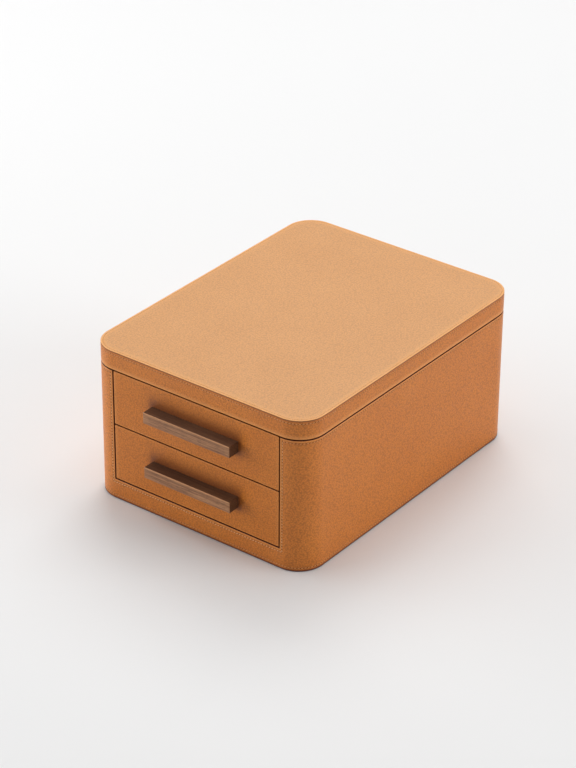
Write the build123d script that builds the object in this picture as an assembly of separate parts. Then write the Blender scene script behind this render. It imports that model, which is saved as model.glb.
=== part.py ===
from build123d import *
import math
import os

# Jewellery box with a hinged lid, a lined top tray and two drawers.
# Millimetres. X runs to the right, Y to the back and Z up; the drawers face -Y.
# The origin is the middle of the underside.

# Outside
WIDTH = 240.0
DEPTH = 318.0
HEIGHT = 152.0
CORNER_RADIUS = 26.0
LID_HEIGHT = 18.7
REVEAL = 1.2  # the dark line round the drawer fronts and under the lid

# Coverings
LEATHER = 1.4
EDGE_BREAK = 0.7  # softened outer edges of the leather
LID_TOP_LEATHER = 1.5
TOP_EDGE_BREAK = 0.35
TURN_UP = 0.6  # skived leather inside the lid's rim
SUEDE = 1.0
BASE_SHEET = 1.2
BASE_INSET = 3.0
BOTTOM_HEM = 12.0

# Case boards
FLOOR = 9.0
SHELF_STEP = 0.5  # the shelf's top above the lower edge of the upper front
SIDE_BOARD = 8.0
BACK_BOARD = 12.6
FRONT_RAIL_TOP = 20.4  # top of the covered rail under the lower drawer
JAMB_FACE = 27.0  # covered face beside the drawers, rounded corner included
PARTITION = 6.0
SHELF = 5.0
DECK = 4.0
TRAY_DEPTH = 18.6  # from the rim down to the deck
TRAY_RAIL = 8.0
TRAY_RAIL_GAP = 0.6  # behind a closed drawer front
TRAY_RAIL_LEATHER = 0.8

# Drawers
LOWER_FRONT_HEIGHT = 55.7
FRONT_BOARD = 8.0
BOX_SIDE = 6.0
BOX_BOTTOM = 3.0
TAIL_PITCH = 11.0  # dovetails at the back corners, about this far apart
TAIL_SHARE = 0.5  # of the pitch, at the narrow end
TAIL_SLOPE = 1 / 6
GROOVE_DEPTH = 2.0
GROOVE_LIFT = 1.5  # wood left under the bottom board
SIDE_PLAY = 0.3  # between a drawer side and its guide
SEAT = 0.3  # between a moving piece and what carries or stops it
BOX_TO_JAMB = 1.5
HEADROOM = 1.0  # over each drawer box
UPPER_RUNNER = 1.5
RUNNER_WIDTH = 12.0
GUIDE_HEIGHT = 10.0
GUIDE_END = 3.0  # the guides stop this far from the posts
BACK_PLAY = 2.0  # behind a closed drawer box
TRAVEL = 200.0
STOP_TAB_DROP = 5.0
STOP_TAB_THICK = 3.0
STOP_TAB_WIDTH = 24.0
DIVIDER = 3.0
LOWER_DIVIDER_DROP = 15.0  # below the top of the drawer's sides
UPPER_DIVIDER_DROP = 6.5
LOWER_LONG_DIVIDER_X = 20.0

# Pull bars
BAR_LENGTH = 96.0
BAR_HEIGHT = 11.0
BAR_DEPTH = 12.5
BAR_RISE = 0.8  # the bar sits this far above the middle of its front
BAR_CHAMFER = 0.5
BAR_SCREW_SPACING = 64.0
BAR_SCREW_RADIUS = 1.75
BAR_SCREW_BITE = 8.0

# Top tray
LINER = 2.0
LINER_PROUD = 4.0  # the liner stands above the rim and locates the lid
LIP_CLEARANCE = 1.0
TRAY_DIVIDER_HEIGHT = 13.5
TRAY_CROSS_Y = 10.0
TRAY_BAY_X = 36.0
RING_ROLL_COUNT = 9
RING_ROLL_HEIGHT = 17.0
RING_ROLL_GAP = 0.5

# Lid
LID_BOARD = 6.0
LID_LINING = 0.8
PAD_SIZE = 6.0  # square felt pads
PAD_INSET = 11.0

# Hinges
HINGE_SPACING = 120.0
HINGE_LENGTH = 40.0
KNUCKLES = 3
KNUCKLE_GAP = 0.2
AXIS_INSET = 3.2  # hinge axis, in from the back face
BEVEL_ANGLE = 50.0  # each back bevel; the lid stops at twice this angle
BEVEL_PLAY = 0.15
BARREL_RADIUS = 2.2
PIN_RADIUS = 0.9
PIN_PLAY = 0.05
LEAF = 1.0
LEAF_WIDTH = 9.0
POCKET_PLAY = 0.3

CUT = 1.0  # how far a cutting solid runs past what it cuts

# Places that follow from the sizes above
half_width = WIDTH / 2
half_depth = DEPTH / 2
case_bottom = BASE_SHEET
case_top = HEIGHT - LID_HEIGHT - REVEAL
lid_bottom = case_top + REVEAL
core_top = case_top - LEATHER
floor_top = case_bottom + FLOOR
inner_x = half_width - LEATHER - SIDE_BOARD
front_wall_y = -half_depth + LEATHER + SIDE_BOARD
back_wall_y = half_depth - LEATHER - BACK_BOARD
jamb_x = half_width - JAMB_FACE
post_x = jamb_x + LEATHER
tray_corner = CORNER_RADIUS - LEATHER - SIDE_BOARD
deck_top = case_top - TRAY_DEPTH
deck_bottom = deck_top - DECK

front_half = jamb_x - REVEAL
front_back_y = -half_depth + LEATHER + FRONT_BOARD
shelf_front_y = front_back_y + TRAY_RAIL_GAP
tray_front_y = shelf_front_y + TRAY_RAIL
post_front_y = tray_front_y + tray_corner
post_back_y = back_wall_y - tray_corner
box_half = jamb_x - BOX_TO_JAMB
box_inner = box_half - BOX_SIDE
box_rear = back_wall_y - BACK_PLAY
box_back_y = box_rear - BOX_SIDE

lower_front_z0 = FRONT_RAIL_TOP + REVEAL
lower_front_z1 = lower_front_z0 + LOWER_FRONT_HEIGHT
upper_front_z0 = lower_front_z1 + REVEAL
upper_front_z1 = case_top
shelf_top = upper_front_z0 + SHELF_STEP
shelf_bottom = shelf_top - SHELF
lower_box_z0 = lower_front_z0
lower_box_z1 = shelf_bottom - HEADROOM
upper_box_z0 = shelf_top + UPPER_RUNNER + SEAT
upper_box_z1 = deck_bottom - HEADROOM

liner_top = case_top + LINER_PROUD
tray_floor = deck_top + SUEDE
tray_divider_top = tray_floor + TRAY_DIVIDER_HEIGHT

lid_board_top = HEIGHT - LID_TOP_LEATHER
lid_board_bottom = lid_board_top - LID_BOARD
lid_inner_x = inner_x + LIP_CLEARANCE
lid_inner_front_y = front_wall_y - LIP_CLEARANCE
lid_inner_back_y = back_wall_y + LIP_CLEARANCE
lid_inner_corner = tray_corner + LIP_CLEARANCE

axis_y = half_depth - AXIS_INSET
axis_z = case_top + REVEAL / 2
case_leaf_bottom = core_top
lid_leaf_bottom = lid_bottom + LEATHER - LEAF
knuckle_pitch = HINGE_LENGTH / KNUCKLES


def block(x0, x1, y0, y1, z0, z1):
    """A box between two corners."""
    return Pos(x0, y0, z0) * Box(x1 - x0, y1 - y0, z1 - z0, align=(Align.MIN,) * 3)


def plate(half_x, y0, y1, radius, z0, z1):
    """A board with four rounded upright corners, centred on X."""
    outline = RectangleRounded(2 * half_x, y1 - y0, radius)
    return Pos(0, (y0 + y1) / 2, z0) * extrude(outline, amount=z1 - z0)


def outer_plate(inset, z0, z1):
    """The box's own outline, moved in by inset."""
    side = half_width - inset
    end = half_depth - inset
    return plate(side, -end, end, CORNER_RADIUS - inset, z0, z1)


def tray_plate(inset, z0, z1):
    """The outline of the top compartment, moved in by inset."""
    side = inner_x - inset
    return plate(side, tray_front_y + inset, back_wall_y - inset, tray_corner - inset, z0, z1)


def lid_hollow(outset, z0, z1):
    """The hollow under the lid, moved out by outset."""
    return plate(
        lid_inner_x + outset,
        lid_inner_front_y - outset,
        lid_inner_back_y + outset,
        lid_inner_corner + outset,
        z0,
        z1,
    )


def in_lengths(ring, x, y0, y1):
    """Cuts a closed ring into its four straight lengths and its four corner pieces."""
    far = DEPTH
    x_spans = ((-far, -x), (-x, x), (x, far))
    y_spans = ((-far, y0), (y0, y1), (y1, far))
    cells = [
        (ring & block(*x_spans[i], *y_spans[j], 0, HEIGHT), i != 1 and j != 1)
        for i in range(3)
        for j in range(3)
        if (i, j) != (1, 1)
    ]
    return [s for s, corner in cells if not corner], [s for s, corner in cells if corner]


def rod_x(radius, x0, x1, y, z):
    """A round bar along X."""
    return Pos((x0 + x1) / 2, y, z) * Rot(0, 90, 0) * Cylinder(radius, x1 - x0)


def back_bevel(inset):
    """The V along the back of the lid line. Its faces meet when the lid is fully open."""
    angle = math.radians(BEVEL_ANGLE)
    apex = axis_y - (BEVEL_PLAY + inset) / math.sin(angle)
    reach = half_depth - apex + CUT
    rise = reach * math.tan(angle)
    far = apex + reach
    profile = Polygon((apex, axis_z), (far, axis_z - rise), (far, axis_z + rise), align=None)
    return extrude(Plane.YZ * profile, amount=half_width, both=True)


def hinge_ranges():
    """Both hinges, as their low and high ends along X."""
    return [(x - HINGE_LENGTH / 2, x + HINGE_LENGTH / 2) for x in (-HINGE_SPACING / 2, HINGE_SPACING / 2)]


def knuckle_room():
    """What the barrels of both hinges take out of the boards and the leather."""
    radius = BARREL_RADIUS + POCKET_PLAY
    return [rod_x(radius, x0 - POCKET_PLAY, x1 + POCKET_PLAY, axis_y, axis_z) for x0, x1 in hinge_ranges()]


def leaf_windows(z0, z1):
    """What both hinges' leaves take out of the leather that they are let into."""
    return [block(x0, x1, axis_y - LEAF_WIDTH, axis_y, z0, z1) for x0, x1 in hinge_ranges()]


def hinge_leaf(x0, low, first, bore):
    """A leaf and its own knuckles: every second knuckle, starting with number first."""
    leaf = block(x0, x0 + HINGE_LENGTH, axis_y - LEAF_WIDTH, axis_y, low, low + LEAF)
    play = KNUCKLE_GAP / 2
    for i in range(KNUCKLES):
        a = x0 + i * knuckle_pitch
        b = a + knuckle_pitch
        if i % 2 == first:
            leaf += rod_x(BARREL_RADIUS, a + play, b - play, axis_y, axis_z)
        else:
            leaf -= rod_x(BARREL_RADIUS + POCKET_PLAY, a - play, b + play, axis_y, axis_z)
    return leaf - rod_x(bore, x0 - CUT, x0 + HINGE_LENGTH + CUT, axis_y, axis_z)


# The case

def base_sheet():
    return outer_plate(BASE_INSET, 0, BASE_SHEET)


def floor_board():
    """The bottom board, rebated underneath for the leather that turns under it."""
    board = outer_plate(LEATHER, case_bottom + LEATHER, floor_top)
    return board + outer_plate(BOTTOM_HEM, case_bottom, floor_top)


def side_panel(sign):
    panel = block(inner_x, half_width - LEATHER, post_front_y, post_back_y, floor_top, core_top)
    return panel if sign > 0 else mirror(panel, Plane.YZ)


def back_panel():
    panel = outer_plate(LEATHER, floor_top, core_top)
    panel &= block(-post_x, post_x, back_wall_y, half_depth, floor_top, core_top)
    panel -= back_bevel(LEATHER)
    for room in knuckle_room():
        panel -= room
    return panel


def front_rail():
    rail = outer_plate(LEATHER, floor_top, FRONT_RAIL_TOP - LEATHER)
    return rail & block(-post_x, post_x, -half_depth, front_wall_y, floor_top, FRONT_RAIL_TOP - LEATHER)


def corner_post(sign_x, y0, y1):
    """A round-cornered post, scooped out above the deck for the tray's rounded corner."""
    post = outer_plate(LEATHER, floor_top, core_top)
    post &= block(post_x, half_width, y0, y1, floor_top, core_top)
    post -= tray_plate(0, deck_bottom, core_top)
    post -= back_bevel(LEATHER)
    return post if sign_x > 0 else mirror(post, Plane.YZ)


def case_leather():
    """One skin round the case, turned over its top, bottom and opening edges and down the back bevel."""
    solid = outer_plate(0, case_bottom, case_top)
    rims = solid.edges().group_by(Axis.Z)
    solid = chamfer(rims[0] + rims[-1], EDGE_BREAK)
    skin = solid - outer_plate(LEATHER, case_bottom + LEATHER, core_top)
    skin -= outer_plate(BOTTOM_HEM, case_bottom, case_bottom + LEATHER)
    skin -= tray_plate(0, core_top, case_top)
    opening = block(-jamb_x, jamb_x, -half_depth, post_front_y, FRONT_RAIL_TOP, case_top)
    skin -= opening
    front = -half_depth + EDGE_BREAK
    lining = block(-post_x, post_x, front, post_front_y, FRONT_RAIL_TOP - LEATHER, case_top)
    lining -= opening
    lining -= block(-post_x, post_x, front_wall_y, post_front_y, 0, FRONT_RAIL_TOP)
    lining -= block(-post_x, post_x, shelf_front_y + TRAY_RAIL_LEATHER, post_front_y, deck_bottom, core_top)
    skin += lining - tray_plate(0, core_top, case_top)
    skin += solid & back_bevel(LEATHER)
    skin -= back_bevel(0)
    for room in knuckle_room() + leaf_windows(core_top, case_top):
        skin -= room
    return skin


def partition(sign):
    wall = block(jamb_x, jamb_x + PARTITION, post_front_y, post_back_y, floor_top, deck_bottom)
    return wall if sign > 0 else mirror(wall, Plane.YZ)


def shelf():
    return block(-jamb_x, jamb_x, shelf_front_y, back_wall_y, shelf_bottom, shelf_top)


def deck():
    return tray_plate(0, deck_bottom, deck_top)


def tray_front_rail():
    rail_front_y = shelf_front_y + TRAY_RAIL_LEATHER
    return block(-post_x, post_x, rail_front_y, tray_front_y, deck_bottom, core_top)


def tray_rail_leather():
    """Covers the front and top of the rail behind the upper drawer front."""
    return block(-jamb_x, jamb_x, shelf_front_y, tray_front_y, deck_bottom, case_top) - tray_front_rail()


def drawer_runners():
    """Two battens under the lower drawer and two thin strips under the upper one."""
    x0 = jamb_x - RUNNER_WIDTH
    low = block(x0, jamb_x, front_wall_y, back_wall_y, floor_top, lower_box_z0 - SEAT)
    high = block(x0, jamb_x, shelf_front_y, back_wall_y, shelf_top, upper_box_z0 - SEAT)
    return [low, mirror(low, Plane.YZ), high, mirror(high, Plane.YZ)]


def drawer_guides():
    """Strips on the partitions that keep the drawers straight."""
    strips = []
    for z0, z1 in ((lower_box_z0, lower_box_z1), (upper_box_z0, upper_box_z1)):
        middle = (z0 + z1) / 2
        strip = block(
            box_half + SIDE_PLAY,
            jamb_x,
            post_front_y + GUIDE_END,
            post_back_y - GUIDE_END,
            middle - GUIDE_HEIGHT / 2,
            middle + GUIDE_HEIGHT / 2,
        )
        strips += [strip, mirror(strip, Plane.YZ)]
    return strips


def felt_pads():
    """Pads behind the drawer boxes, and pads on the rim that carry the closed lid."""
    half = PAD_SIZE / 2
    pads = []
    y0 = back_wall_y - BACK_PLAY + SEAT
    for z in ((lower_box_z0 + lower_box_z1) / 2, (upper_box_z0 + upper_box_z1) / 2):
        pad = block(box_inner - PAD_SIZE, box_inner, y0, back_wall_y, z - half, z + half)
        pads += [pad, mirror(pad, Plane.YZ)]
    x = half_width - PAD_INSET
    for y in (-half_depth + PAD_INSET, half_depth - PAD_INSET):
        pad = block(x - half, x + half, y - half, y + half, case_top, lid_bottom - SEAT)
        pads += [pad, mirror(pad, Plane.YZ)]
    return pads


def stop_tabs():
    """Leather tabs under the shelf and the deck that catch each drawer's back board."""
    y1 = box_back_y - TRAVEL - SEAT
    half = STOP_TAB_WIDTH / 2
    return [
        block(-half, half, y1 - STOP_TAB_THICK, y1, z - STOP_TAB_DROP, z)
        for z in (shelf_bottom, deck_bottom)
    ]


def tray_liner():
    """The lined strips round the tray. They stand proud of the rim, inside the closed lid."""
    ring = tray_plate(0, deck_top, liner_top) - tray_plate(LINER, deck_top, liner_top)
    straight, corners = in_lengths(ring, inner_x - tray_corner, post_front_y, post_back_y)
    return straight + corners


def tray_floor_pad():
    return tray_plate(LINER, deck_top, tray_floor)


def tray_dividers():
    """One board across the tray, one beside the ring rolls and two behind."""
    half = DIVIDER / 2
    side = inner_x - LINER
    z0, z1 = tray_floor, tray_divider_top
    cross = block(-side, side, TRAY_CROSS_Y - half, TRAY_CROSS_Y + half, z0, z1)
    front = block(TRAY_BAY_X - half, TRAY_BAY_X + half, tray_front_y + LINER, TRAY_CROSS_Y - half, z0, z1)
    rear = [
        block(x - half, x + half, TRAY_CROSS_Y + half, back_wall_y - LINER, z0, z1)
        for x in (-TRAY_BAY_X, TRAY_BAY_X)
    ]
    return [cross, front, *rear]


def ring_rolls():
    """Round-topped foam rolls side by side. Rings stand in the slits between them."""
    room = tray_plate(LINER + RING_ROLL_GAP, tray_floor, tray_floor + RING_ROLL_HEIGHT)
    y0 = tray_front_y + LINER + RING_ROLL_GAP
    y1 = TRAY_CROSS_Y - DIVIDER / 2 - RING_ROLL_GAP
    pitch = (y1 - y0 + RING_ROLL_GAP) / RING_ROLL_COUNT
    width = pitch - RING_ROLL_GAP
    x1 = TRAY_BAY_X - DIVIDER / 2 - RING_ROLL_GAP
    shoulder = tray_floor + RING_ROLL_HEIGHT - width / 2
    rolls = []
    for i in range(RING_ROLL_COUNT):
        y = y0 + i * pitch
        roll = block(-inner_x, x1, y, y + width, tray_floor, shoulder)
        roll += rod_x(width / 2, -inner_x, x1, y + width / 2, shoulder)
        rolls.append(roll & room)
    return rolls


def hinge_pins():
    return [rod_x(PIN_RADIUS, x0, x1, axis_y, axis_z) for x0, x1 in hinge_ranges()]


# The lid

def lid_board():
    return outer_plate(LEATHER, lid_board_bottom, lid_board_top)


def lid_rim():
    """The rails and corner blocks under the lid board, bevelled along the back."""
    rim = outer_plate(LEATHER, lid_bottom + LEATHER, lid_board_bottom)
    rim -= lid_hollow(TURN_UP, lid_bottom, lid_board_bottom)
    rim -= back_bevel(LEATHER)
    for room in knuckle_room():
        rim -= room
    x = lid_inner_x - lid_inner_corner
    return in_lengths(rim, x, lid_inner_front_y + lid_inner_corner, lid_inner_back_y - lid_inner_corner)


def lid_side_leather():
    """The band round the lid, turned under its bottom edge and up inside the rim."""
    solid = outer_plate(0, lid_bottom, lid_board_top)
    solid = chamfer(solid.edges().group_by(Axis.Z)[0], EDGE_BREAK)
    band = solid - outer_plate(LEATHER, lid_bottom + LEATHER, lid_board_top)
    band += lid_hollow(TURN_UP, lid_bottom + LEATHER, lid_board_bottom)
    band -= lid_hollow(0, lid_bottom, lid_board_bottom)
    band += solid & back_bevel(LEATHER)
    band -= back_bevel(0)
    for room in knuckle_room() + leaf_windows(lid_bottom, lid_bottom + LEATHER):
        band -= room
    return band


def lid_top_leather():
    """The top panel. Its edge lies flush with the band and is stitched to it."""
    panel = outer_plate(0, lid_board_top, HEIGHT)
    return chamfer(panel.edges().group_by(Axis.Z)[-1], TOP_EDGE_BREAK)


def lid_lining():
    return lid_hollow(0, lid_board_bottom - LID_LINING, lid_board_bottom)


# One drawer, given its front's and its box's heights

def drawer_front_board(z0, z1, bar_z):
    side = front_half - LEATHER
    board = block(-side, side, -half_depth + LEATHER, front_back_y, z0 + LEATHER, z1 - LEATHER)
    for screw in bar_screws(bar_z):
        board -= screw
    return board


def drawer_front_leather(z0, z1, bar_z):
    """The covering of a drawer front, over its face and its four edges."""
    cover = block(-front_half, front_half, -half_depth, front_back_y, z0, z1)
    cover = chamfer(cover.edges().group_by(Axis.Y)[0], EDGE_BREAK)
    side = front_half - LEATHER
    cover -= block(-side, side, -half_depth + LEATHER, front_back_y, z0 + LEATHER, z1 - LEATHER)
    for screw in bar_screws(bar_z):
        cover -= screw
    return cover


def bar_screws(bar_z):
    """Two screws from inside the drawer front into the pull bar."""
    reach = FRONT_BOARD + LEATHER + BAR_SCREW_BITE
    screw = Rot(90, 0, 0) * Cylinder(BAR_SCREW_RADIUS, reach, align=(Align.CENTER, Align.CENTER, Align.MIN))
    return [Pos(x, front_back_y, bar_z) * screw for x in (-BAR_SCREW_SPACING / 2, BAR_SCREW_SPACING / 2)]


def pull_bar(bar_z):
    half = BAR_HEIGHT / 2
    bar = block(
        -BAR_LENGTH / 2,
        BAR_LENGTH / 2,
        -half_depth - BAR_DEPTH,
        -half_depth,
        bar_z - half,
        bar_z + half,
    )
    against_front = bar.edges().group_by(Axis.Y)[-1]
    bar = chamfer([e for e in bar.edges() if e not in against_front], BAR_CHAMFER)
    for screw in bar_screws(bar_z):
        bar -= screw
    return bar


def tails(z0, z1):
    """The dovetails on the rear end of the right side board."""
    count = max(1, round((z1 - z0) / TAIL_PITCH))
    pitch = (z1 - z0) / count
    narrow = pitch * TAIL_SHARE / 2
    wide = narrow + BOX_SIDE * TAIL_SLOPE
    found = []
    for i in range(count):
        z = z0 + pitch * (i + 0.5)
        profile = Polygon(
            (box_back_y, z - narrow),
            (box_rear, z - wide),
            (box_rear, z + wide),
            (box_back_y, z + narrow),
            align=None,
        )
        found.append(Pos(box_inner, 0, 0) * extrude(Plane.YZ * profile, amount=BOX_SIDE))
    return found


def drawer_side(z0, z1, sign):
    """A side board with a groove for the bottom and dovetails at its rear end."""
    board = block(box_inner, box_half, front_back_y, box_back_y, z0, z1)
    for tail in tails(z0, z1):
        board += tail
    lift = z0 + GROOVE_LIFT
    board -= block(box_inner, box_inner + GROOVE_DEPTH, front_back_y, box_back_y, lift, lift + BOX_BOTTOM)
    return board if sign > 0 else mirror(board, Plane.YZ)


def drawer_back(z0, z1):
    """The back board, with sockets for the tails of both sides."""
    board = block(-box_half, box_half, box_back_y, box_rear, z0, z1)
    for tail in tails(z0, z1):
        board -= tail
        board -= mirror(tail, Plane.YZ)
    return board


def drawer_bottom(z0):
    edge = box_inner + GROOVE_DEPTH
    lift = z0 + GROOVE_LIFT
    return block(-edge, edge, front_back_y, box_back_y, lift, lift + BOX_BOTTOM)


def drawer_floor(z0):
    """Height of the lined floor of a drawer."""
    return z0 + GROOVE_LIFT + BOX_BOTTOM + SUEDE


def drawer_lining(z0):
    top = drawer_floor(z0)
    return block(-box_inner, box_inner, front_back_y, box_back_y, top - SUEDE, top)


def long_divider(z0, top, x):
    half = DIVIDER / 2
    return block(x - half, x + half, front_back_y, box_back_y, drawer_floor(z0), top)


def cross_dividers(z0, top, x, both_sides):
    """Short boards that split the space beside a long divider into three."""
    half = DIVIDER / 2
    third = (box_back_y - front_back_y) / 3
    spans = [(x + half, box_inner)]
    if both_sides:
        spans.append((-box_inner, x - half))
    return [
        block(a, b, front_back_y + n * third - half, front_back_y + n * third + half, drawer_floor(z0), top)
        for a, b in spans
        for n in (1, 2)
    ]


def bar_height(z0, z1):
    return (z0 + z1) / 2 + BAR_RISE


def drawer(name, front_z, box_z, divider_top, divider_x, both_sides):
    """All the pieces of one drawer, by node name."""
    z0, z1 = front_z
    b0, b1 = box_z
    bar_z = bar_height(z0, z1)
    return {
        f"{name}_drawer_front_board": [drawer_front_board(z0, z1, bar_z)],
        f"{name}_drawer_front_leather": [drawer_front_leather(z0, z1, bar_z)],
        f"{name}_pull_bar": [pull_bar(bar_z)],
        f"{name}_pull_bar_screws": bar_screws(bar_z),
        f"{name}_drawer_side_left": [drawer_side(b0, b1, -1)],
        f"{name}_drawer_side_right": [drawer_side(b0, b1, 1)],
        f"{name}_drawer_back": [drawer_back(b0, b1)],
        f"{name}_drawer_bottom": [drawer_bottom(b0)],
        f"{name}_drawer_lining": [drawer_lining(b0)],
        f"{name}_drawer_long_divider": [long_divider(b0, divider_top, divider_x)],
        f"{name}_drawer_cross_dividers": cross_dividers(b0, divider_top, divider_x, both_sides),
    }


def case_pieces():
    return {
        "base_sheet": [base_sheet()],
        "floor_board": [floor_board()],
        "side_panel_left": [side_panel(-1)],
        "side_panel_right": [side_panel(1)],
        "back_panel": [back_panel()],
        "front_rail": [front_rail()],
        "corner_post_front_left": [corner_post(-1, -half_depth, post_front_y)],
        "corner_post_front_right": [corner_post(1, -half_depth, post_front_y)],
        "corner_post_back_left": [corner_post(-1, post_back_y, half_depth)],
        "corner_post_back_right": [corner_post(1, post_back_y, half_depth)],
        "case_leather": [case_leather()],
        "partition_left": [partition(-1)],
        "partition_right": [partition(1)],
        "shelf": [shelf()],
        "tray_deck": [deck()],
        "tray_front_rail": [tray_front_rail()],
        "tray_rail_leather": [tray_rail_leather()],
        "drawer_runners": drawer_runners(),
        "drawer_guides": drawer_guides(),
        "felt_pads": felt_pads(),
        "drawer_stop_tabs": stop_tabs(),
        "tray_liner": tray_liner(),
        "tray_floor_pad": [tray_floor_pad()],
        "tray_dividers": tray_dividers(),
        "ring_rolls": ring_rolls(),
        "hinge_case_leaves": [
            hinge_leaf(x0, case_leaf_bottom, 0, PIN_RADIUS) for x0, _ in hinge_ranges()
        ],
        "hinge_pins": hinge_pins(),
    }


def lid_pieces():
    bore = PIN_RADIUS + PIN_PLAY
    rails, corner_blocks = lid_rim()
    return {
        "lid_board": [lid_board()],
        "lid_rails": rails,
        "lid_corner_blocks": corner_blocks,
        "lid_side_leather": [lid_side_leather()],
        "lid_top_leather": [lid_top_leather()],
        "lid_lining": [lid_lining()],
        "hinge_lid_leaves": [hinge_leaf(x0, lid_leaf_bottom, 1, bore) for x0, _ in hinge_ranges()],
    }


def drawer_pieces():
    lower = drawer(
        "lower",
        (lower_front_z0, lower_front_z1),
        (lower_box_z0, lower_box_z1),
        lower_box_z1 - LOWER_DIVIDER_DROP,
        LOWER_LONG_DIVIDER_X,
        False,
    )
    upper = drawer(
        "upper",
        (upper_front_z0, upper_front_z1),
        (upper_box_z0, upper_box_z1),
        upper_box_z1 - UPPER_DIVIDER_DROP,
        0.0,
        True,
    )
    return lower | upper


def write(name, solids):
    """Writes one node as a STEP file of separate solids."""
    found = [s for piece in solids for s in piece.solids()]
    shape = found[0] if len(found) == 1 else Compound(children=found)
    export_step(shape, f"parts/{name}.step")


def main():
    os.makedirs("parts", exist_ok=True)
    for name, solids in (case_pieces() | lid_pieces() | drawer_pieces()).items():
        write(name, solids)


main()
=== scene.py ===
# %% [markdown]
# # A leather jewellery box with a lid and two drawers
# The CAD model gives every size and every joint of this box. This lesson dresses it:
# the leather skins with their saddle stitches, the walnut pull bars, the padded ring
# rolls, the suede linings, the hinge screws, and then the light and the camera.
# Loading comes first, because every new piece reads its place from the CAD model.

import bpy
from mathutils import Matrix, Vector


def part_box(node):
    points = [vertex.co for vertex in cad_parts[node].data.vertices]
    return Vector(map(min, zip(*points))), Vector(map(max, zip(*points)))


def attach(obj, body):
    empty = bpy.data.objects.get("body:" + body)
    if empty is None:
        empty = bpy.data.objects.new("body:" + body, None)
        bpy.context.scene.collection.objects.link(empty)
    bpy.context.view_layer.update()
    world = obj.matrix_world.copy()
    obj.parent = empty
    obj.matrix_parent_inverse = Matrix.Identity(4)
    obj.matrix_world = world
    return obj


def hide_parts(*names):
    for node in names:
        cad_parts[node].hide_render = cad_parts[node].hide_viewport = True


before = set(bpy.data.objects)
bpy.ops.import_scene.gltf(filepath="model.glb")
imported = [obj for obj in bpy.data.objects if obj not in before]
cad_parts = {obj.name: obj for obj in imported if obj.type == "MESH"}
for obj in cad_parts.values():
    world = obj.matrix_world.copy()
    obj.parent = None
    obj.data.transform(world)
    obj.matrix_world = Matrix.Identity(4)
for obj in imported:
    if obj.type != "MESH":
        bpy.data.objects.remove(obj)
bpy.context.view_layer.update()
print("nodes:", len(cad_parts))

# %% [markdown]
# ## Working in millimetres
# A leather worker measures in millimetres, so the shapes are worked out in them and
# turned to metres at the very end. Boxes of the CAD nodes give the places of the
# pieces. What a box can't tell, such as the corner radius, is named here once.

# %% Sizes of the box
import math

import bmesh
import bpy
import numpy as np
from mathutils import Matrix, Vector

MM = 0.001


def box_mm(node):
    """Lowest and highest corner of a CAD node, in millimetres."""
    low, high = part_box(node)
    return np.array(low) / MM, np.array(high) / MM


case_low, case_high = box_mm("case_leather")
lid_low, lid_high = box_mm("lid_side_leather")
top_low, top_high = box_mm("lid_top_leather")
tray_low, tray_high = box_mm("tray_liner")
lining_low, lining_high = box_mm("lid_lining")
leaf_low, leaf_high = box_mm("hinge_case_leaves")
pin_low, pin_high = box_mm("hinge_pins")

CORNER = 26.0  # outer corners, seen from above
JAMB_X = 93.0  # the opening for the drawers ends here
LEATHER = 1.4
TRAY_CORNER = 16.6
HOLLOW_CORNER = 17.6
BEVEL = math.radians(50.0)  # slope of the V along the back of the lid line
BEVEL_PLAY = 0.15  # each face of the V passes the hinge's axis at this distance
LEAF_LENGTH = 40.0  # of a hinge, along the back
STITCH = 3.0  # from one saddle stitch to the next
SAME = 0.01  # places closer than this are the same

half_x, half_y = case_high[0], case_high[1]
case_z0, case_z1 = case_low[2], case_high[2]
lid_z0, lid_z1 = lid_low[2], lid_high[2]
rail_z = box_mm("front_rail")[1][2] + LEATHER  # top of the covered rail under the drawers
axis_y, axis_z = (pin_low[1] + pin_high[1]) / 2, (pin_low[2] + pin_high[2]) / 2
print("case z", case_z0, case_z1, " lid z", lid_z0, top_high[2], " rail top", rail_z)

# %% [markdown]
# ## One outline for the whole box
# The case, the lid band and the lid's top all have the same outline: a rectangle with
# round corners. It could be drawn as lines and arcs and sampled one by one. Here it is
# one formula instead: a circle whose centre walks along a smaller rectangle. On the
# straight sides the centre moves and the direction rests; in the corners the centre
# rests and the direction turns.

# %% The outline as a formula
TURN = np.radians([90, 90, 180, 180, 270, 270, 360, 360, 450, 450])


def around(shape, place, inset=0.0):
    """Points and outward directions on a round-cornered rectangle.

    shape is (half width, front y, back y, corner radius). place runs from 0 to 9: the
    left half of the back, then a corner and a side in turn, anticlockwise from above.
    Point = centre(place) + (radius - inset) * (cos turn, sin turn), where the centre and
    the turn are straight-line functions between the whole numbers of place.
    """
    half, front, back, radius = shape
    m, b, f = half - radius, back - radius, front + radius
    knots = np.arange(10)
    cx = np.interp(place, knots, [0, -m, -m, -m, -m, m, m, m, m, 0])
    cy = np.interp(place, knots, [b, b, b, f, f, f, f, b, b, b])
    turn = np.interp(place, knots, TURN)
    out = np.stack([np.cos(turn), np.sin(turn)], -1)
    reach = np.asarray(radius - inset)[..., None]
    return np.stack([cx, cy], -1) + reach * out, out


def run_lengths(shape):
    """Length of the outline at each whole number of place."""
    half, front, back, radius = shape
    m, side, arc = half - radius, back - front - 2 * radius, math.pi / 2 * radius
    return np.concatenate([[0], np.cumsum([m, arc, side, arc, 2 * m, arc, side, arc, m])])


BOX = (half_x, -half_y, half_y, CORNER)
TRAY = (tray_high[0], tray_low[1], tray_high[1], TRAY_CORNER)
HOLLOW = (lining_high[0], lining_low[1], lining_high[1], HOLLOW_CORNER)
box_run = run_lengths(BOX)
FRONT_MIDDLE = (box_run[4] + box_run[5]) / 2
print("round the box:", round(box_run[-1], 1), "mm,", round(box_run[-1] / STITCH), "stitches")

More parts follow.
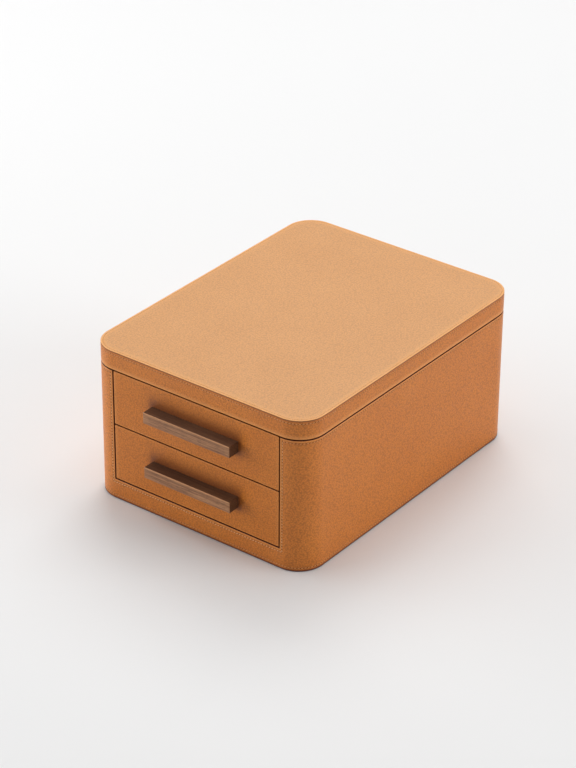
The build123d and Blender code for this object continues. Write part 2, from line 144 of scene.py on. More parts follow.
# %% [markdown]
# ## Grids that are fine only where it matters
# A leather skin is flat over most of its area, and bends in a millimetre or two at its
# edges and along the stitches. So the grid lines are spread out on the flat and close
# together there. An edge of folded leather is a quarter circle: at a distance e inside
# the edge the face has sunk by r - sqrt(r^2 - (r - e)^2). The thread pulls a shallow
# trough into the leather, which is drawn as a smooth dip across the row. Such soft
# changes all have the shape of a bell.

# %% Edges, troughs and grid lines
FOLD = 0.42  # radius of a folded leather edge
QUARTER = np.radians(np.arange(0, 91, 18))
EASE, RISE = 1 - np.cos(QUARTER), 1 - np.sin(QUARTER)  # inset and drop on a quarter circle
ACROSS_ROW = np.array([-1.1, -0.7, -0.45, -0.2, 0, 0.2, 0.45, 0.7, 1.1])  # lines beside a row
DIP = 0.16  # the rows lie this far down in their troughs


def bell(distance, reach):
    """exp(-(distance / reach)^2): 1 in the middle, and a fiftieth at twice the reach."""
    return np.exp(-((distance / reach) ** 2))


def sunk(distance, radius=FOLD):
    """How deep a face lies at this distance inside a rounded edge."""
    short = np.clip(radius - distance, 0, radius)
    return radius - np.sqrt(radius**2 - short**2)


def trough(distance):
    """Dip of the leather under a row of stitches: a bell that reaches half a millimetre."""
    return DIP * bell(distance, 0.5)


def grid_lines(exact, low, high, step):
    """The exact lines, with even ones of about this step between them."""
    exact = np.unique(np.round(np.append(exact, [low, high]), 4))
    even = np.linspace(low, high, max(2, round((high - low) / step) + 1))
    free = np.abs(even[:, None] - exact[None, :]).min(1) > 0.45 * step
    return np.unique(np.append(exact, even[free]))


def quads(rows, columns, closed=False, turned_rows=False):
    """Four-sided faces between neighbouring points of a grid that is numbered row by row."""
    j = np.arange(rows if turned_rows else rows - 1)[:, None]
    i = np.arange(columns if closed else columns - 1)[None, :]
    right, up = (i + 1) % columns, (j + 1) % rows
    corners = [j * columns + i, j * columns + right, up * columns + right, up * columns + i]
    return np.stack(np.broadcast_arrays(*corners), -1)


# %% [markdown]
# ## From grids to a mesh
# A piece may be made of several grids that share their border points. They are put
# into one mesh, the shared points are merged, and a single sheet gets its thickness
# inwards. Sharp folds stay sharp and everything flatter is shaded smooth. Each point
# also carries a number that the finishes read: 0 on open leather, up to 1 where a
# painted highlight lies along a fold or an edge, and down to -1 where painted shade
# darkens the edges, the gaps and the reveals. Only on the top panel's raw edge is -1 a
# real dark stain.

# %% Make a piece out of grids


def make_piece(name, grids, body, thickness=0.0, smooth_below=38.0, weld=True):
    """One object from (points, faces, wear) grids, in the place that the points say."""
    points, faces, stain_and_painted_light, first = [], [], [], 0
    for grid_points, grid_faces, grid_light_and_stain in grids:
        flat = np.asarray(grid_points, float).reshape(-1, 3)
        points.append(flat * MM)
        faces.append(grid_faces.reshape(-1, 4) + first)
        stain_and_painted_light.append(np.broadcast_to(grid_light_and_stain, grid_points.shape[:-1]).ravel())
        first += len(flat)
    mesh = bpy.data.meshes.new(name)
    mesh.from_pydata(np.concatenate(points).tolist(), [], np.concatenate(faces).tolist())
    mesh.attributes.new("stain_and_painted_light", "FLOAT", "POINT").data.foreach_set("value", np.concatenate(stain_and_painted_light))
    if weld:
        welded = bmesh.new()
        welded.from_mesh(mesh)
        bmesh.ops.remove_doubles(welded, verts=welded.verts, dist=0.004 * MM)
        bmesh.ops.dissolve_degenerate(welded, edges=welded.edges, dist=0.002 * MM)
        welded.to_mesh(mesh)
        welded.free()
    piece = bpy.data.objects.new(name, mesh)
    bpy.context.scene.collection.objects.link(piece)
    if thickness:
        wall = piece.modifiers.new("wall", "SOLIDIFY")
        wall.thickness, wall.offset = thickness * MM, -1
        shown = bpy.context.evaluated_depsgraph_get()
        piece.data = bpy.data.meshes.new_from_object(piece.evaluated_get(shown))
        piece.modifiers.clear()
    piece.data.shade_smooth()
    piece.data.set_sharp_from_angle(angle=math.radians(smooth_below))
    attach(piece, body)
    print(f"{name}: {len(piece.data.vertices)} points, {len(piece.data.polygons)} faces")
    return piece


# %% [markdown]
# ## The leather round the case
# On the real box one long strip of hide is glued round the boards. It turns under the
# bottom, over the rim, and into the drawers' opening, and along the back it runs down a
# bevel that stops the open lid. The strip could be modelled as a box with bevelled
# edges, but then its folds would all be alike. Here it is one sheet over two
# parameters, the run round the outline and the height, with the opening left out.

# %% Rows of stitches on the case
ROW_INSET = 2.4  # from a folded edge to its row of stitches
BOTTOM_ROW = case_z0 + 2.6
TOP_ROW = case_z1 - 2.7
RAIL_ROW = rail_z - 3.1
SIDE_ROW = JAMB_X + ROW_INSET  # along the outline from the middle of the front

crease_y = axis_y - BEVEL_PLAY / math.sin(BEVEL)  # the bottom of the V


def bevel_height(y):
    """Height of the lower face of the V at this depth."""
    return axis_z - (y - crease_y) * math.tan(BEVEL)


def fold_painted_light(edge, to_row, painted_highlight, middle, spread):
    """Painted light near a folded edge and a row: a painted highlight in a bell beside the
    fold, less a faint darkening along the row, less a strong narrow painted shade in the
    fold itself, where the gap is."""
    return painted_highlight * bell(edge - middle, spread) - 0.25 * bell(to_row, 0.7) - 1.5 * bell(edge, 0.25)


def gap_shade_fading(share):
    """-exp(-6 share): painted shade at the fold, where the lid line's gap is, and open leather further
    along.
    """
    return -np.exp(-6 * share)


def between(near, far, share):
    """Plans between two plans: (1 - share) * near + share * far, one row for each share."""
    return near[None] * (1 - share[..., None]) + far[None] * share[..., None]


# %% The outer face of the case
STEP = 6.0  # between grid lines on the flat
CORNER_LINES = 25  # in each round corner
HANG_LINES = np.array([0.9, 1.4])  # two rows for the part of the hem that hangs
LEAF_PLAY = 0.2  # beside a hinge leaf in its window
front_columns = [FRONT_MIDDLE + s * (start + offsets) for s in (-1, 1)
                 for start, offsets in ((JAMB_X, FOLD * EASE), (SIDE_ROW, ACROSS_ROW))]
hinge_cuts = leaf_high[0] + np.array([LEAF_PLAY, -LEAF_LENGTH - LEAF_PLAY])
corner_columns = [np.linspace(box_run[k], box_run[k + 1], CORNER_LINES) for k in (1, 3, 5, 7)]
exact_columns = [*front_columns, hinge_cuts, box_run[-1] - hinge_cuts, *corner_columns]
columns = grid_lines(np.concatenate(exact_columns), 0, box_run[-1], STEP)[:-1]
place = np.interp(columns, box_run, np.arange(10))
across = columns - FRONT_MIDDLE

exact_rows = [case_z0 + FOLD * EASE, case_z0 + HANG_LINES]
exact_rows += [z - FOLD * EASE for z in (case_z1, rail_z)]
exact_rows += [row + ACROSS_ROW for row in (BOTTOM_ROW, TOP_ROW, RAIL_ROW)]
heights = grid_lines(np.concatenate(exact_rows), case_z0, case_z1, STEP)

# %% Its height, its folds and its troughs
HANG = 0.85  # the turned hide is thick, so its fold hangs this far below the board
BEND_FROM = 100.0  # from this height up the grid's rows bend down towards the bevel
BEND_UNDER_RIM = 8.0  # and over this much under the rim they follow it
FAR = 9.0  # further from a row than its trough reaches
plan, out = around(BOX, place)
drop = np.clip(case_z1 - bevel_height(plan[:, 1]), 0, None)  # what the bevel takes off the height
Z, A = np.meshgrid(heights, across, indexing="ij")
shift = np.clip((Z - BEND_FROM) / (case_z1 - BEND_UNDER_RIM - BEND_FROM), 0, 1) * drop
shift = shift + HANG * bell(Z - case_z0, 0.9)
beside, below = np.abs(A) - JAMB_X, rail_z - Z
to_opening = np.hypot(np.clip(beside, 0, None), np.clip(below, 0, None))
edge = np.minimum(np.minimum(Z - case_z0, case_z1 - Z), to_opening)
side_row = np.where(Z > RAIL_ROW, np.abs(np.abs(A) - SIDE_ROW), FAR)
rail_row = np.where(np.abs(A) < SIDE_ROW, np.abs(Z - RAIL_ROW), FAR)
top_row = np.where(np.abs(A) > SIDE_ROW, np.abs(Z - TOP_ROW), FAR)
to_row = np.minimum(np.minimum(side_row, rail_row), np.minimum(top_row, np.abs(Z - BOTTOM_ROW)))
depth = sunk(edge) + trough(to_row)
# Painted highlight beside the folds, painted shade in the folds at the lid line, the opening and the floor,
# and a faint darkening along the rows.
case_painted_light = fold_painted_light(edge, to_row, 0.8, middle=0.5, spread=0.6)
HEM_SHADE = 2.0  # the lowest part gets a painted contact shadow instead of a painted highlight
case_painted_light = np.where(Z < case_z0 + HEM_SHADE, -1.1 * bell(Z - case_z0, 1.1), case_painted_light)
wall = np.concatenate([plan[None] - depth[..., None] * out[None], (Z - shift)[..., None]], -1)
wall_faces = quads(*Z.shape, closed=True)
middle_x = np.abs((across + np.append(across[1:], box_run[-1] - FRONT_MIDDLE)) / 2)
in_opening = (((heights[:-1] + heights[1:]) / 2)[:, None] > rail_z) & (middle_x < JAMB_X)[None]
print("grid of the case:", Z.shape, " bevel takes off", round(drop.max(), 2), "mm at the back")

# %% [markdown]
# ## Rim, jambs and hem
# The sheet goes on over the rim of the case. Points between the outer outline and the
# outline of the tray are mixed in steps that meet the top of the bevel and the edges of
# the hinges, and their height follows the bevel where it is lower than the rim. Two
# windows in the back part let the brass hinge leaves in.
# Short strips line the sides and the sill of the opening, and a hem turns under.

# %% The rim with its hinge windows
tray_plan, _ = around(TRAY, place)
edge_plan = wall[-1, :, :2]
fall = edge_plan[:, 1] - tray_plan[:, 1]
SLIVER = 0.02  # the least share, which keeps two lines of points apart
bevel_run = edge_plan[:, 1] - crease_y + (case_z1 - axis_z) / math.tan(BEVEL)
crease = np.where(drop > 0, np.clip(bevel_run / fall, SLIVER, 1), SLIVER)
KNUCKLE_ROOM = 1.55  # from the hinge axis to the outer edge of its cut-out
back_depth = half_y - FOLD - tray_high[1]
knuckle = (half_y - FOLD - axis_y - KNUCKLE_ROOM) / back_depth
window = (half_y - FOLD - leaf_low[1]) / back_depth
share = np.stack([0 * crease, crease * knuckle / crease.max(), crease, 0.5 + 0 * crease,
                  window + 0 * crease, 1 + 0 * crease])
share[1] = np.minimum(share[1], crease * 0.8)  # the knuckle's line stays outside the crease
rim_plan = between(edge_plan, tray_plan, share)
rim_z = np.minimum(case_z1, bevel_height(rim_plan[..., 1]))
rim_z[0] = wall[-1, :, 2]
rim = np.concatenate([rim_plan, rim_z[..., None]], -1)
rim_faces = quads(len(share), len(columns), closed=True)
back_x = np.abs(np.where(plan[:, 1] > half_y - SAME, plan[:, 0], np.inf))
nearer, further = np.sort([back_x, np.roll(back_x, -1)], axis=0)
in_window = (nearer > hinge_cuts[1] - SAME) & (further < hinge_cuts[0] + SAME)
cut = np.zeros(rim_faces.shape[:2], bool)
cut[1:4] = in_window
cut |= (middle_x < JAMB_X)[None]

# %% Jamb strips
POST_PAST_CORNER = 8.6  # the front posts reach this far behind the round corners
TRAY_UNDERPART = 6.5  # from this far under its deck up, the tray is behind the jambs
front_wall_y = box_mm("lower_drawer_front_leather")[1][1]
post_y = -half_y + CORNER + POST_PAST_CORNER
deck_z = box_mm("tray_deck")[0][2] - TRAY_UNDERPART
left, right = np.argmin(np.abs(across + JAMB_X)), np.argmin(np.abs(across - JAMB_X))
open_rows = heights >= rail_z - SAME


def strip(border, flipped):
    """From a border line of the face, straight back: rows along it, 3 columns deep. Below
    the tray it covers the whole post, and above that only the part beside the drawer front."""
    depths = np.linspace(0, 1, 3)[None, :, None]
    end = border.copy()
    end[:, 1] = np.where(border[:, 2] < deck_z, post_y, front_wall_y)
    points = border[:, None] * (1 - depths) + end[:, None] * depths
    points = points[:, ::-1] if flipped else points
    # -1.0 all over: painted shade on the jambs, the sides of the gap beside the drawers.
    return points, quads(*points.shape[:2]), -1.0


jambs = [strip(wall[open_rows, left], False), strip(wall[open_rows, right], True)]

# %% Sill and hem, then the whole skin
HEM_INSETS = (12.0, 2.8)  # the hem's hidden edge, and the line where its fold begins
sill_row = np.argmin(np.abs(heights - rail_z))
sill_edge = wall[sill_row, left : right + 1]
sill = np.stack([sill_edge, sill_edge * [1, 0, 1] + [0, front_wall_y, 0]])
hem_lines = [np.append(around(BOX, place, inset)[0], np.full((len(place), 1), case_z0), 1)
             for inset in HEM_INSETS]
hem = np.stack([*hem_lines, wall[0]])
# The jambs, the sill and the hem get -1.0, painted shade in the opening's gaps and under the box, and the
# rim a painted shade that fades in from the lid line.
case_skin = make_piece(
    "case_skin",
    [
        (wall, wall_faces[~in_opening], case_painted_light),
        (rim, rim_faces[~cut], gap_shade_fading(share)),
        *jambs,
        (sill, quads(*sill.shape[:2]), -1.0),
        (hem, quads(3, len(columns), closed=True), -1.0),
    ],
    "case",
    thickness=1.0,
)
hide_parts("case_leather")

# %% [markdown]
# ## The band round the lid
# A second strip runs round the lid. Its profile starts inside the lid's hollow, comes
# down, turns under the lower edge, and climbs the outside to the raw edge of the top
# panel. The same columns carry it round, so its grain and the case's line up.

# %% The outside of the lid band
BAND_TOP_ROW = lid_z1 - 1.9
BEND_MARGIN = 3.5  # this far from both edges of the band its rows start to bend up to the bevel
TUCK = 0.12  # the upper edge leans in under the top panel
BAND_STEP = 4.0  # between grid lines on its flat part
exact_rows = np.concatenate([lid_z0 + FOLD * EASE, BAND_TOP_ROW + ACROSS_ROW])
band_z = grid_lines(exact_rows, lid_z0, lid_z1, BAND_STEP)
lift = np.clip(2 * axis_z - bevel_height(plan[:, 1]) - lid_z0, 0, None)
Zb = np.broadcast_to(band_z[:, None], (len(band_z), len(columns)))
bent = np.clip((lid_z1 - BEND_MARGIN - Zb) / (lid_z1 - lid_z0 - 2 * BEND_MARGIN), 0, 1)
band_edge, band_row = Zb - lid_z0, np.abs(Zb - BAND_TOP_ROW)
band_depth = sunk(band_edge) + trough(band_row) + TUCK * bell(lid_z1 - Zb, 0.6)
# Painted highlight beside the lower fold, painted shade in the fold, where the lid line's gap is, and a
# faint darkening along the row; the underside fades in from painted shade.
band_face_painted_light = fold_painted_light(band_edge, band_row, 1.0, middle=0.6, spread=0.7)
band_plan = plan[None] - band_depth[..., None] * out[None]
band_wall = np.concatenate([band_plan, (Zb + bent * lift)[..., None]], -1)

# %% Its underside and inside, then the whole band
hollow_plan, _ = around(HOLLOW, place)
lid_edge = band_wall[0, :, :2]
under_run = lid_edge[:, 1] - crease_y - (lid_z0 - axis_z) / math.tan(BEVEL)
under_crease = np.clip(under_run / (lid_edge[:, 1] - hollow_plan[:, 1]), SLIVER, 1)
under_crease = np.where(lift > 0, under_crease, SLIVER)
leaf_share = (half_y - FOLD - leaf_low[1]) / (half_y - FOLD - HOLLOW[2])
under_share = np.stack([1 + 0 * lift, leaf_share + 0 * lift, 0.5 + 0 * lift,
                        under_crease, under_crease * 0.45])
under_plan = between(lid_edge, hollow_plan, under_share)
under_z = np.maximum(lid_z0, 2 * axis_z - bevel_height(under_plan[..., 1]))
under = np.concatenate([under_plan, under_z[..., None]], -1)
inside = np.concatenate([hollow_plan, np.full((len(columns), 1), lining_low[2])], -1)
band = np.concatenate([inside[None], under, band_wall])
band_faces = quads(*band.shape[:2], closed=True)
band_cut = np.zeros(band_faces.shape[:2], bool)
band_cut[2:5] = in_window
band_painted_light = np.concatenate([np.zeros((1, len(columns))), gap_shade_fading(under_share), band_face_painted_light])
lid_band = make_piece("lid_band_skin", [(band, band_faces[~band_cut], band_painted_light)], "lid", thickness=0.6)
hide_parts("lid_side_leather")

# %% [markdown]
# ## Plates with eased edges
# The lid's top panel, the covered drawer fronts, the pull bars and the tray's boards
# are all plates: a round-cornered outline, carried along its own axis, with its edges
# eased. A cube with a Bevel modifier gives something like it, but one function of two
# parameters also gives the crown of a glued skin and the trough of a stitch row.

# %% A plate as a surface


def plate_places(straight, arc):
    """Places round the outline: this many steps on each straight and each corner."""
    steps = [straight, arc] * 4 + [straight]
    return np.concatenate([k + np.arange(n) / n for k, n in enumerate(steps)])


def outlines(shape, where, inset):
    """Points on the outlines at these insets, a row for each, at these places round them."""
    return around(shape, *np.broadcast_arrays(where[None], inset[:, None]))[0]


def eased_plate(half_a, half_b, corner, height, ease, straight=10, arc=6, crown=0.0,
                rings=(), row=None, low_ease=0.0, scale_rows=6, highlight_spread=0.6, pale=0.3):
    """A closed plate over its own width a and length b, from height 0 to height.

    Going out from the middle of the lower face the profile is: scale 0 to 1, the lower
    ease, the side, the upper ease, then rings of growing inset, then scale 1 to 0. Point
    = outline(place, inset) * scale, raised by crown * (1 - (a/A)^4) * (1 - (b/B)^4) and
    let down by the trough of a stitch row at its inset.
    """
    top_inset, top_height = ease * EASE, height - ease * RISE
    low_inset, low_height = low_ease * RISE, low_ease * EASE
    rings = np.asarray([r for r in rings if r > ease + SAME])
    last = rings[-1] if len(rings) else ease
    scale_up = np.linspace(0, 1, 4)[:-1]
    scale_down = np.linspace(1, 0, scale_rows + 1)[1:]
    inset = np.concatenate([0 * scale_up + low_ease, low_inset, top_inset, rings, 0 * scale_down + last])
    face_level = height + 0 * np.concatenate([rings, scale_down])
    level = np.concatenate([0 * scale_up, low_height, top_height, face_level])
    scale = np.concatenate([scale_up, np.ones(2 * len(EASE) + len(rings)), scale_down])
    upper = np.arange(len(inset)) >= len(scale_up) + len(EASE)
    plan = outlines((half_a, -half_b, half_b, corner), plate_places(straight, arc), inset)
    plan = plan * scale[:, None, None]
    bulge = crown * (1 - (plan[..., 0] / half_a) ** 4) * (1 - (plan[..., 1] / half_b) ** 4)
    dip = 0 if row is None else np.where(scale == 1, trough(inset - row), 0)[:, None]
    z = level[:, None] + upper[:, None] * (bulge - dip)
    # A painted highlight in a bell just inside the ease of the upper face; the sides and the lower face get
    # -1, which the finish paints as shade, and on the top panel as its edge stain.
    painted_highlight = np.where(scale == 1, pale * bell(inset - ease, highlight_spread), 0)[:, None]
    stain_and_painted_light = np.where(upper[:, None] & (level > height - 0.5 * ease)[:, None], painted_highlight, -1.0) + 0 * z
    return np.concatenate([plan, z[..., None]], -1), quads(*z.shape, closed=True), stain_and_painted_light


def lay_flat(points, x, y, z):
    """Width along X, length along Y, height upwards from z."""
    return points + np.array([x, y, z])


def stand_up(points, x, y, z):
    """Width along X, length upwards, height towards the front from y."""
    return np.stack([points[..., 0] + x, y - points[..., 2], points[..., 1] + z], -1)


# %% [markdown]
# ## The lid's top panel
# The top is a panel of thicker hide laid on the lid and stitched near its rim. Its cut
# edge is not folded: it is sanded and stained, and shows as a thin darker line round the
# top, and the rim above it carries a painted highlight. The panel is a plate with a small
# ease, so that its edge stays crisp.

# %% Top panel
TOP_ROW_INSET = 2.2
top_rings = np.concatenate([[0.7, 0.95], TOP_ROW_INSET + ACROSS_ROW[1:], [4.5, 7, 12, 20]])
top_points, top_faces, top_stain_and_painted_light = eased_plate(
    half_x, half_y, CORNER, top_high[2] - top_low[2], 0.5, straight=24, arc=24,
    rings=top_rings, row=TOP_ROW_INSET, low_ease=0.1, scale_rows=12, highlight_spread=3.5, pale=1.0,
)
top_points = lay_flat(top_points, 0, 0, top_low[2])
lid_top = make_piece("lid_top_skin", [(top_points, top_faces, top_stain_and_painted_light)], "lid")
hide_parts("lid_top_leather")

# %% [markdown]
# ## Covered drawer fronts and pull bars
# Each drawer front is a board wrapped in a deeper tan of the hide, a painted shade for
# the front, with folded edges and no stitching. Pressed flat while the glue dries, its
# face still stands a little proud in the middle. Its edges carry a thin painted highlight,
# its sides painted shade a few millimetres back into the gap, and the leather over a bar
# and beside it is darkened: painted shade where the bar blocks the light. The bars are
# solid walnut with edges eased by a few strokes of sandpaper; their upper edge carries a
# painted highlight, and their other sides painted shade. Both are plates that stand up.

# %% A standing plate and the painted shade round the bars


def standing_plate(node, corner, crown=0.0, **profile):
    """A plate with an ease of 0.45 mm over a node's box, with its face to the front."""
    low, high = box_mm(node)
    width, thick, tall = high - low
    points, faces, stain_and_painted_light = eased_plate(width / 2, tall / 2, corner, thick - crown, 0.45, arc=5,
                                      crown=crown, **profile)
    middle_x, _, middle_z = (low + high) / 2
    return stand_up(points, middle_x, high[1], middle_z), faces, stain_and_painted_light


def bar_painted_shade(points, bar_low, bar_high):
    """Painted shade round a bar, where it blocks the light: 0.7 exp(-d^2), where d is the
    distance from the bar over 10 mm upwards, and over 4 mm sideways and downwards."""
    above = np.clip(points[..., 2] - bar_high[2], 0, None) / 10
    beside = np.clip(np.abs(points[..., 0]) - bar_high[0], 0, None) / 4
    below = np.clip(bar_low[2] - points[..., 2], 0, None) / 4
    return 0.7 * np.exp(-(above**2 + beside**2 + below**2))


# %% Drawer fronts
REVEAL_SHADE_DEPTH = 3.0  # how far back from the face painted shade darkens the edge of a drawer front
drawer_fronts = []
for drawer in ("lower", "upper"):
    leather_node = f"{drawer}_drawer_front_leather"
    points, faces, stain_and_painted_light = standing_plate(leather_node, 0.7, crown=0.06, straight=44, scale_rows=26)
    from_face = points[..., 1] - box_mm(leather_node)[0][1]
    stain_and_painted_light = stain_and_painted_light * np.clip(1 - from_face / REVEAL_SHADE_DEPTH, 0, 1)
    # Less the painted shade round the bar.
    stain_and_painted_light = stain_and_painted_light - bar_painted_shade(points, *box_mm(f"{drawer}_pull_bar"))
    front = make_piece(f"{drawer}_front_skin", [(points, faces, stain_and_painted_light)], f"{drawer}_drawer")
    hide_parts(f"{drawer}_drawer_front_leather", f"{drawer}_drawer_front_board")
    drawer_fronts.append(front)

# %% Pull bars
UPPER_EDGE = 1.0  # height of the band along the top that carries the painted highlight
bars = []
for drawer in ("lower", "upper"):
    bar_node = f"{drawer}_pull_bar"
    points, faces, stain_and_painted_light = standing_plate(bar_node, 0.5, straight=16, scale_rows=4, pale=1.0)
    on_top = points[..., 2] > box_mm(bar_node)[1][2] - UPPER_EDGE
    # The painted highlight stays full along the upper edge and a fifth of it elsewhere; the painted shade
    # stays on the top, ends, underside and back.
    stain_and_painted_light = np.where((stain_and_painted_light < 0) | on_top, stain_and_painted_light, 0.2 * stain_and_painted_light)
    bar = make_piece(f"{drawer}_walnut_bar", [(points, faces, stain_and_painted_light)], f"{drawer}_drawer")
    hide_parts(f"{drawer}_pull_bar")
    bars.append(bar)

# %% [markdown]
# ## Saddle stitches
# A saddle stitch is sewn with two needles, so that every gap between two holes is
# filled on both sides. On the face each stitch is a short bead of waxed linen that
# rises in the middle, dives into the leather at both ends, and leans a little. One
# bead with a few dozen faces is worked out once and placed at even steps along each
# row, all rows at once as arrays.

# %% One stitch, and rows of it
THREAD = 0.6  # thickness of the waxed thread
LEAN = math.radians(9)


def stitch_bead(length=2.05, rings=7, sides=6):
    """Points (along, across, up) of one bead: a ring of radius r(u) round a line that
    rises as 1 - u^2, with u from -1 to 1 along the stitch."""
    u = np.linspace(-1, 1, rings)
    turn = np.arange(sides) / sides * 2 * math.pi
    radius = THREAD / 2 * np.sqrt(1 - (0.9 * u) ** 2)
    along = np.repeat((u * length / 2)[:, None], sides, 1)
    across = radius[:, None] * np.cos(turn)
    up = (0.24 * (1 - u**2) - 0.10)[:, None] + radius[:, None] * np.sin(turn)
    leaned = np.stack([along * math.cos(LEAN) - across * math.sin(LEAN),
                       along * math.sin(LEAN) + across * math.cos(LEAN), up], -1)
    return leaned, quads(rings, sides, closed=True)


def awl_slit():
    """Points of one slit: a low lens, 1.0 by 0.6 mm, half a stitch after the bead's middle."""
    turn = np.arange(8) / 8 * 2 * math.pi
    ring = np.stack([0.5 * np.cos(turn), 0.3 * np.sin(turn), 0 * turn], -1)
    lens = np.stack([ring * 1.0, ring * 0.5 + [0, 0, 0.03], ring * 0.02 + [0, 0, 0.035]])
    return lens + [STITCH / 2, 0, 0.0], quads(3, 8, closed=True)


def place_along(shape, shape_faces, rows):
    """Copies of one small shape at every stitch of the rows, as grids for make_piece."""
    grids = []
    for spots, along, outward in rows:
        across = np.cross(outward, along)
        axes = np.stack([along, across, outward], -2)
        placed = spots[:, None, None] + np.einsum("rsk,nkc->nrsc", shape, axes)
        count = shape.shape[0] * shape.shape[1]
        faces = shape_faces.reshape(1, -1, 4) + (np.arange(len(spots)) * count)[:, None, None]
        grids.append((placed, faces, 0.0))
    return grids


def close_holes(piece):
    """Fills the open ends of a piece's small shapes."""
    closed = bmesh.new()
    closed.from_mesh(piece.data)
    bmesh.ops.holes_fill(closed, edges=closed.edges, sides=0)
    closed.to_mesh(piece.data)
    closed.free()


def sew(name, rows, body):
    """Thread and slits of some rows, each (points, directions, outward directions)."""
    made = []
    for part, shape in ((name, stitch_bead()), (f"{name}_slits", awl_slit())):
        piece = make_piece(part, place_along(*shape, rows), body, smooth_below=180, weld=False)
        close_holes(piece)
        piece.data.shade_smooth()
        made.append(piece)
    return made


def row_round(height, inset, start=None, end=None, lean_out=0.0, follow=None):
    """Stitches round the box at a height, and as far inside the outline as inset.

    The run from start to end is cut into whole stitches. lean_out is 0 where the row
    lies on the sides and 1 where it lies on a level face.
    """
    shape_run = run_lengths((BOX[0] - inset, BOX[1] + inset, BOX[2] - inset, CORNER - inset))
    start, end = (0, shape_run[-1]) if start is None else (start, end)
    count = round((end - start) / STITCH)
    at = start + (np.arange(count) + 0.5) * (end - start) / count
    where = np.interp(at, shape_run, np.arange(10))
    spot, facing = around(BOX, where, inset)
    z = height + 0 * at if follow is None else height + follow(spot)
    flat = np.zeros((count, 1))
    along = np.concatenate([np.stack([-facing[:, 1], facing[:, 0]], -1), flat], -1)
    side = np.concatenate([facing, flat], -1) * (1 - lean_out) + np.array([0, 0, 1.0]) * lean_out
    return np.concatenate([spot, z[:, None]], -1), along, side


def row_straight(start, end, outward):
    """Stitches in a straight line."""
    start, end = np.array(start, float), np.array(end, float)
    length = np.linalg.norm(end - start)
    count = round(length / STITCH)
    at = (np.arange(count) + 0.5) / count
    along = np.repeat(((end - start) / length)[None], count, 0)
    return start + at[:, None] * (end - start), along, np.repeat(np.array([outward], float), count, 0)


# %% Sew the case


def under_bevel(spot):
    """How far the bevel takes a row down at these places."""
    return -np.clip(case_z1 - bevel_height(spot[:, 1] + DIP), 0, None)


dipped_run = run_lengths((BOX[0] - DIP, BOX[1] + DIP, BOX[2] - DIP, CORNER - DIP))
dipped_middle = (dipped_run[4] + dipped_run[5]) / 2
left_end, right_start = dipped_middle - SIDE_ROW, dipped_middle + SIDE_ROW


def side_of_opening(side):
    """The row beside the opening stands on the first part of the round corner."""
    where = np.interp(FRONT_MIDDLE + side * SIDE_ROW, box_run, np.arange(10))
    spot, facing = around(BOX, where, DIP)
    return row_straight([*spot, RAIL_ROW], [*spot, TOP_ROW], [*facing, 0])


front_y = -half_y + DIP
edge_rows = [
    row_round(BOTTOM_ROW, DIP),
    row_round(TOP_ROW, DIP, 0, left_end, follow=under_bevel),
    row_round(TOP_ROW, DIP, right_start, dipped_run[-1], follow=under_bevel),
]
opening_rows = [
    side_of_opening(-1),
    side_of_opening(1),
    row_straight([-SIDE_ROW, front_y, RAIL_ROW], [SIDE_ROW, front_y, RAIL_ROW], [0, -1, 0]),
]
edge_thread = sew("case_edge_stitches", edge_rows, "case")
opening_thread = sew("case_opening_stitches", opening_rows, "case")

# %% Sew the lid
band_rows = [row_round(BAND_TOP_ROW, DIP)]
band_thread = sew("lid_band_stitches", band_rows, "lid")
top_rows = [row_round(top_high[2] - DIP, TOP_ROW_INSET, lean_out=1.0)]
top_thread = sew("lid_top_stitches", top_rows, "lid")

# %% [markdown]
# ## Ring rolls
# The padded part of the tray is nine foam rolls wrapped in brushed cloth. They stand
# side by side, and a ring is pushed into the slit between two of them. Each roll is a
# profile with a flat foot, straight flanks and a round top, carried along its length.
# The cloth is tucked in at the ends, so there the profile shrinks along a quarter
# ellipse. Foam this firm hardly sags, so no cloth simulation is needed: a slow wave of
# two tenths of a millimetre along each roll keeps them from looking turned.

# %% Nine padded rolls
roll_low, roll_high = box_mm("ring_rolls")
ROLLS, SLIT = 9, 0.5
TUCKED, END_SIZE = 6.0, 0.45  # length of a tucked end, and the size that it shrinks to
WAVE, PRESSED = 0.2, 0.25  # height of the slow wave, and how far the tops are pressed down
pitch = (roll_high[1] - roll_low[1] + SLIT) / ROLLS
roll_width, roll_height = pitch - SLIT, roll_high[2] - roll_low[2]


